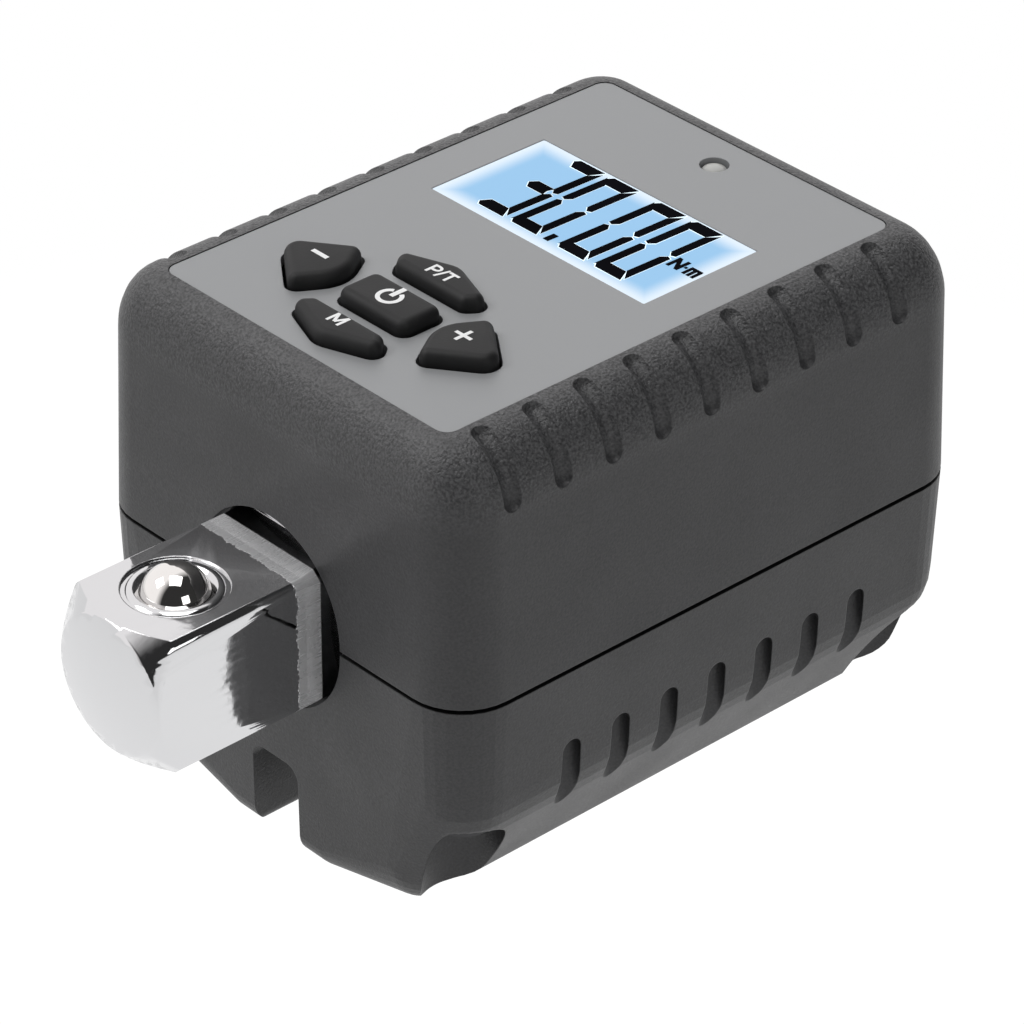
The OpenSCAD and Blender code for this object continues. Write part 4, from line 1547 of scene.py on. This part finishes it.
BOLD, MEDIUM, THIN = 0.35, 0.28, 0.26
MARKS: tuple[tuple[str, Body, tuple[Stroke, ...]], ...] = (
    ("mark_minus", Body.MINUS, ((0.45, ((-9.93, 0.3), (-8.08, 0.3))),)),
    ("mark_plus", Body.PLUS, ((BOLD, ((7.68, 0.3), (9.53, 0.3))), (BOLD, ((8.6, -0.63), (8.6, 1.23))))),
    ("mark_power", Body.POWER, ((0.4, arc((0.0, 0.0), (1.0, 1.0), 28.0, 332.0, 28)),
                                (0.5, ((0.0, 0.1), (0.0, 1.7))))),
    ("mark_mode", Body.MODE, ((MEDIUM, ((-0.62, -6.22), (-0.62, -4.78))),
                              (MEDIUM, ((0.62, -6.22), (0.62, -4.78))),
                              (MEDIUM, ((-0.6, -4.8), (0.0, -5.95))), (MEDIUM, ((0.6, -4.8), (0.0, -5.95))))),
    ("mark_peak", Body.PEAK, ((MEDIUM, ((-1.2, 4.9), (-1.2, 6.3))),
                              (THIN, ((-1.2, 6.18), *arc((-0.75, 5.85), (0.38, 0.33), 0.0, 180.0, 10),
                                      (-1.2, 5.52))),
                              (0.24, ((-0.15, 4.85), (0.3, 6.35))), (THIN, ((0.45, 6.18), (1.55, 6.18))),
                              (MEDIUM, ((1.0, 4.9), (1.0, 6.2))))),
)


class TorqueAdapter:
    """The whole dressed part."""

    def __init__(self, frame: dict) -> None:
        """Keeps the frame.
        """
        self.nodes: dict[str, bpy.types.Object] = frame["nodes"]
        self.finishes = {key: finish.build() for key, finish in FINISHES.items()}

    def build(self) -> None:
        """Dresses the nodes and adds the pieces."""
        plastic, steel = SparkPlastic().build(), Chrome(RUN_OUT_Y).build()
        for name, key in NODE_FINISH.items():
            self._paint(name, self.finishes[key])
        self._paint("lcd_window", LitWindow(*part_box("lcd_window")).build())
        for name, material in (("upper_case", plastic), ("lower_case", plastic), ("torque_shaft", steel)):
            self._paint(name, material)
        self._housing(plastic)
        self._drive(steel)
        self._fix(DetentSpring().build(self.nodes["detent_spring"]), Body.HOUSING)
        pad = top_of(Body.POWER.value)
        for cap in KEY_CAPS:
            self._fix(cap.build(pad, self.finishes["key_rubber"]), cap.body)
        self._fix(Lens().build(self.finishes["lamp"]), Body.HOUSING)
        for piece in Display(self.finishes["ink_black"], self.finishes["halo"]).build():
            self._fix(piece, Body.HOUSING)
        for name, body, strokes in MARKS:
            sign = Print(name, pad + Vector((0.0, 0.0, MARK_LIFT * MM)), self.finishes["ink_white"])
            sign.lines(strokes)
            self._fix(sign.build(), body)

    def _fix(self, piece: bpy.types.Object, body: Body) -> None:
        """Lets a piece ride on a body and reports it.

        Args:
            piece: The piece.
            body: Body that carries it.
        """
        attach(piece, body.value)
        LOG.info("%s rides on %s with %d points", piece.name, body.value, len(piece.data.vertices))

    def _housing(self, plastic: bpy.types.Material) -> None:
        """Replaces the upper half of the housing.

        Args:
            plastic: Its material.
        """
        low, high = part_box("upper_case")
        plate_low, plate_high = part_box("face_panel")
        half, plate_half = (high - low) / 2 / MM, (plate_high - plate_low) / 2 / MM
        piece = UpperShell((half.x, half.y), (low.y + high.y) / 2 / MM,
                           (plate_half.x + PLATE_GAP, plate_half.y + PLATE_GAP),
                           (plate_low.y + plate_high.y) / 2 / MM).build(plastic)
        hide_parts("upper_case")
        self._fix(piece, Body.HOUSING)

    def _drive(self, steel: bpy.types.Material) -> None:
        """Replaces the shaft by a copy with its run-outs and bevelled nose.

        Args:
            steel: Its material.
        """
        shaft = copy_of(self.nodes["torque_shaft"], "drive_shaft", SHARP_STEEL)
        cut(shaft, DriveRunOut().cutters(steel), SHARP_STEEL)
        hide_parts("torque_shaft")
        self._fix(shaft, Body.HOUSING)

    def _paint(self, name: str, material: bpy.types.Material) -> None:
        """Gives a node its material.

        Args:
            name: Name of the node.
            material: The material.
        """
        node = self.nodes[name]
        if not node.material_slots:
            node.data.materials.append(material)
        for held in node.material_slots:
            held.material = material


def main() -> None:
    """Builds the scene."""
    logging.basicConfig(level=logging.INFO)
    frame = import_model()
    Viewpoint().build()
    Studio().build()
    TorqueAdapter(frame).build()
    bpy.context.view_layer.update()


if __name__ == "__main__":
    main()
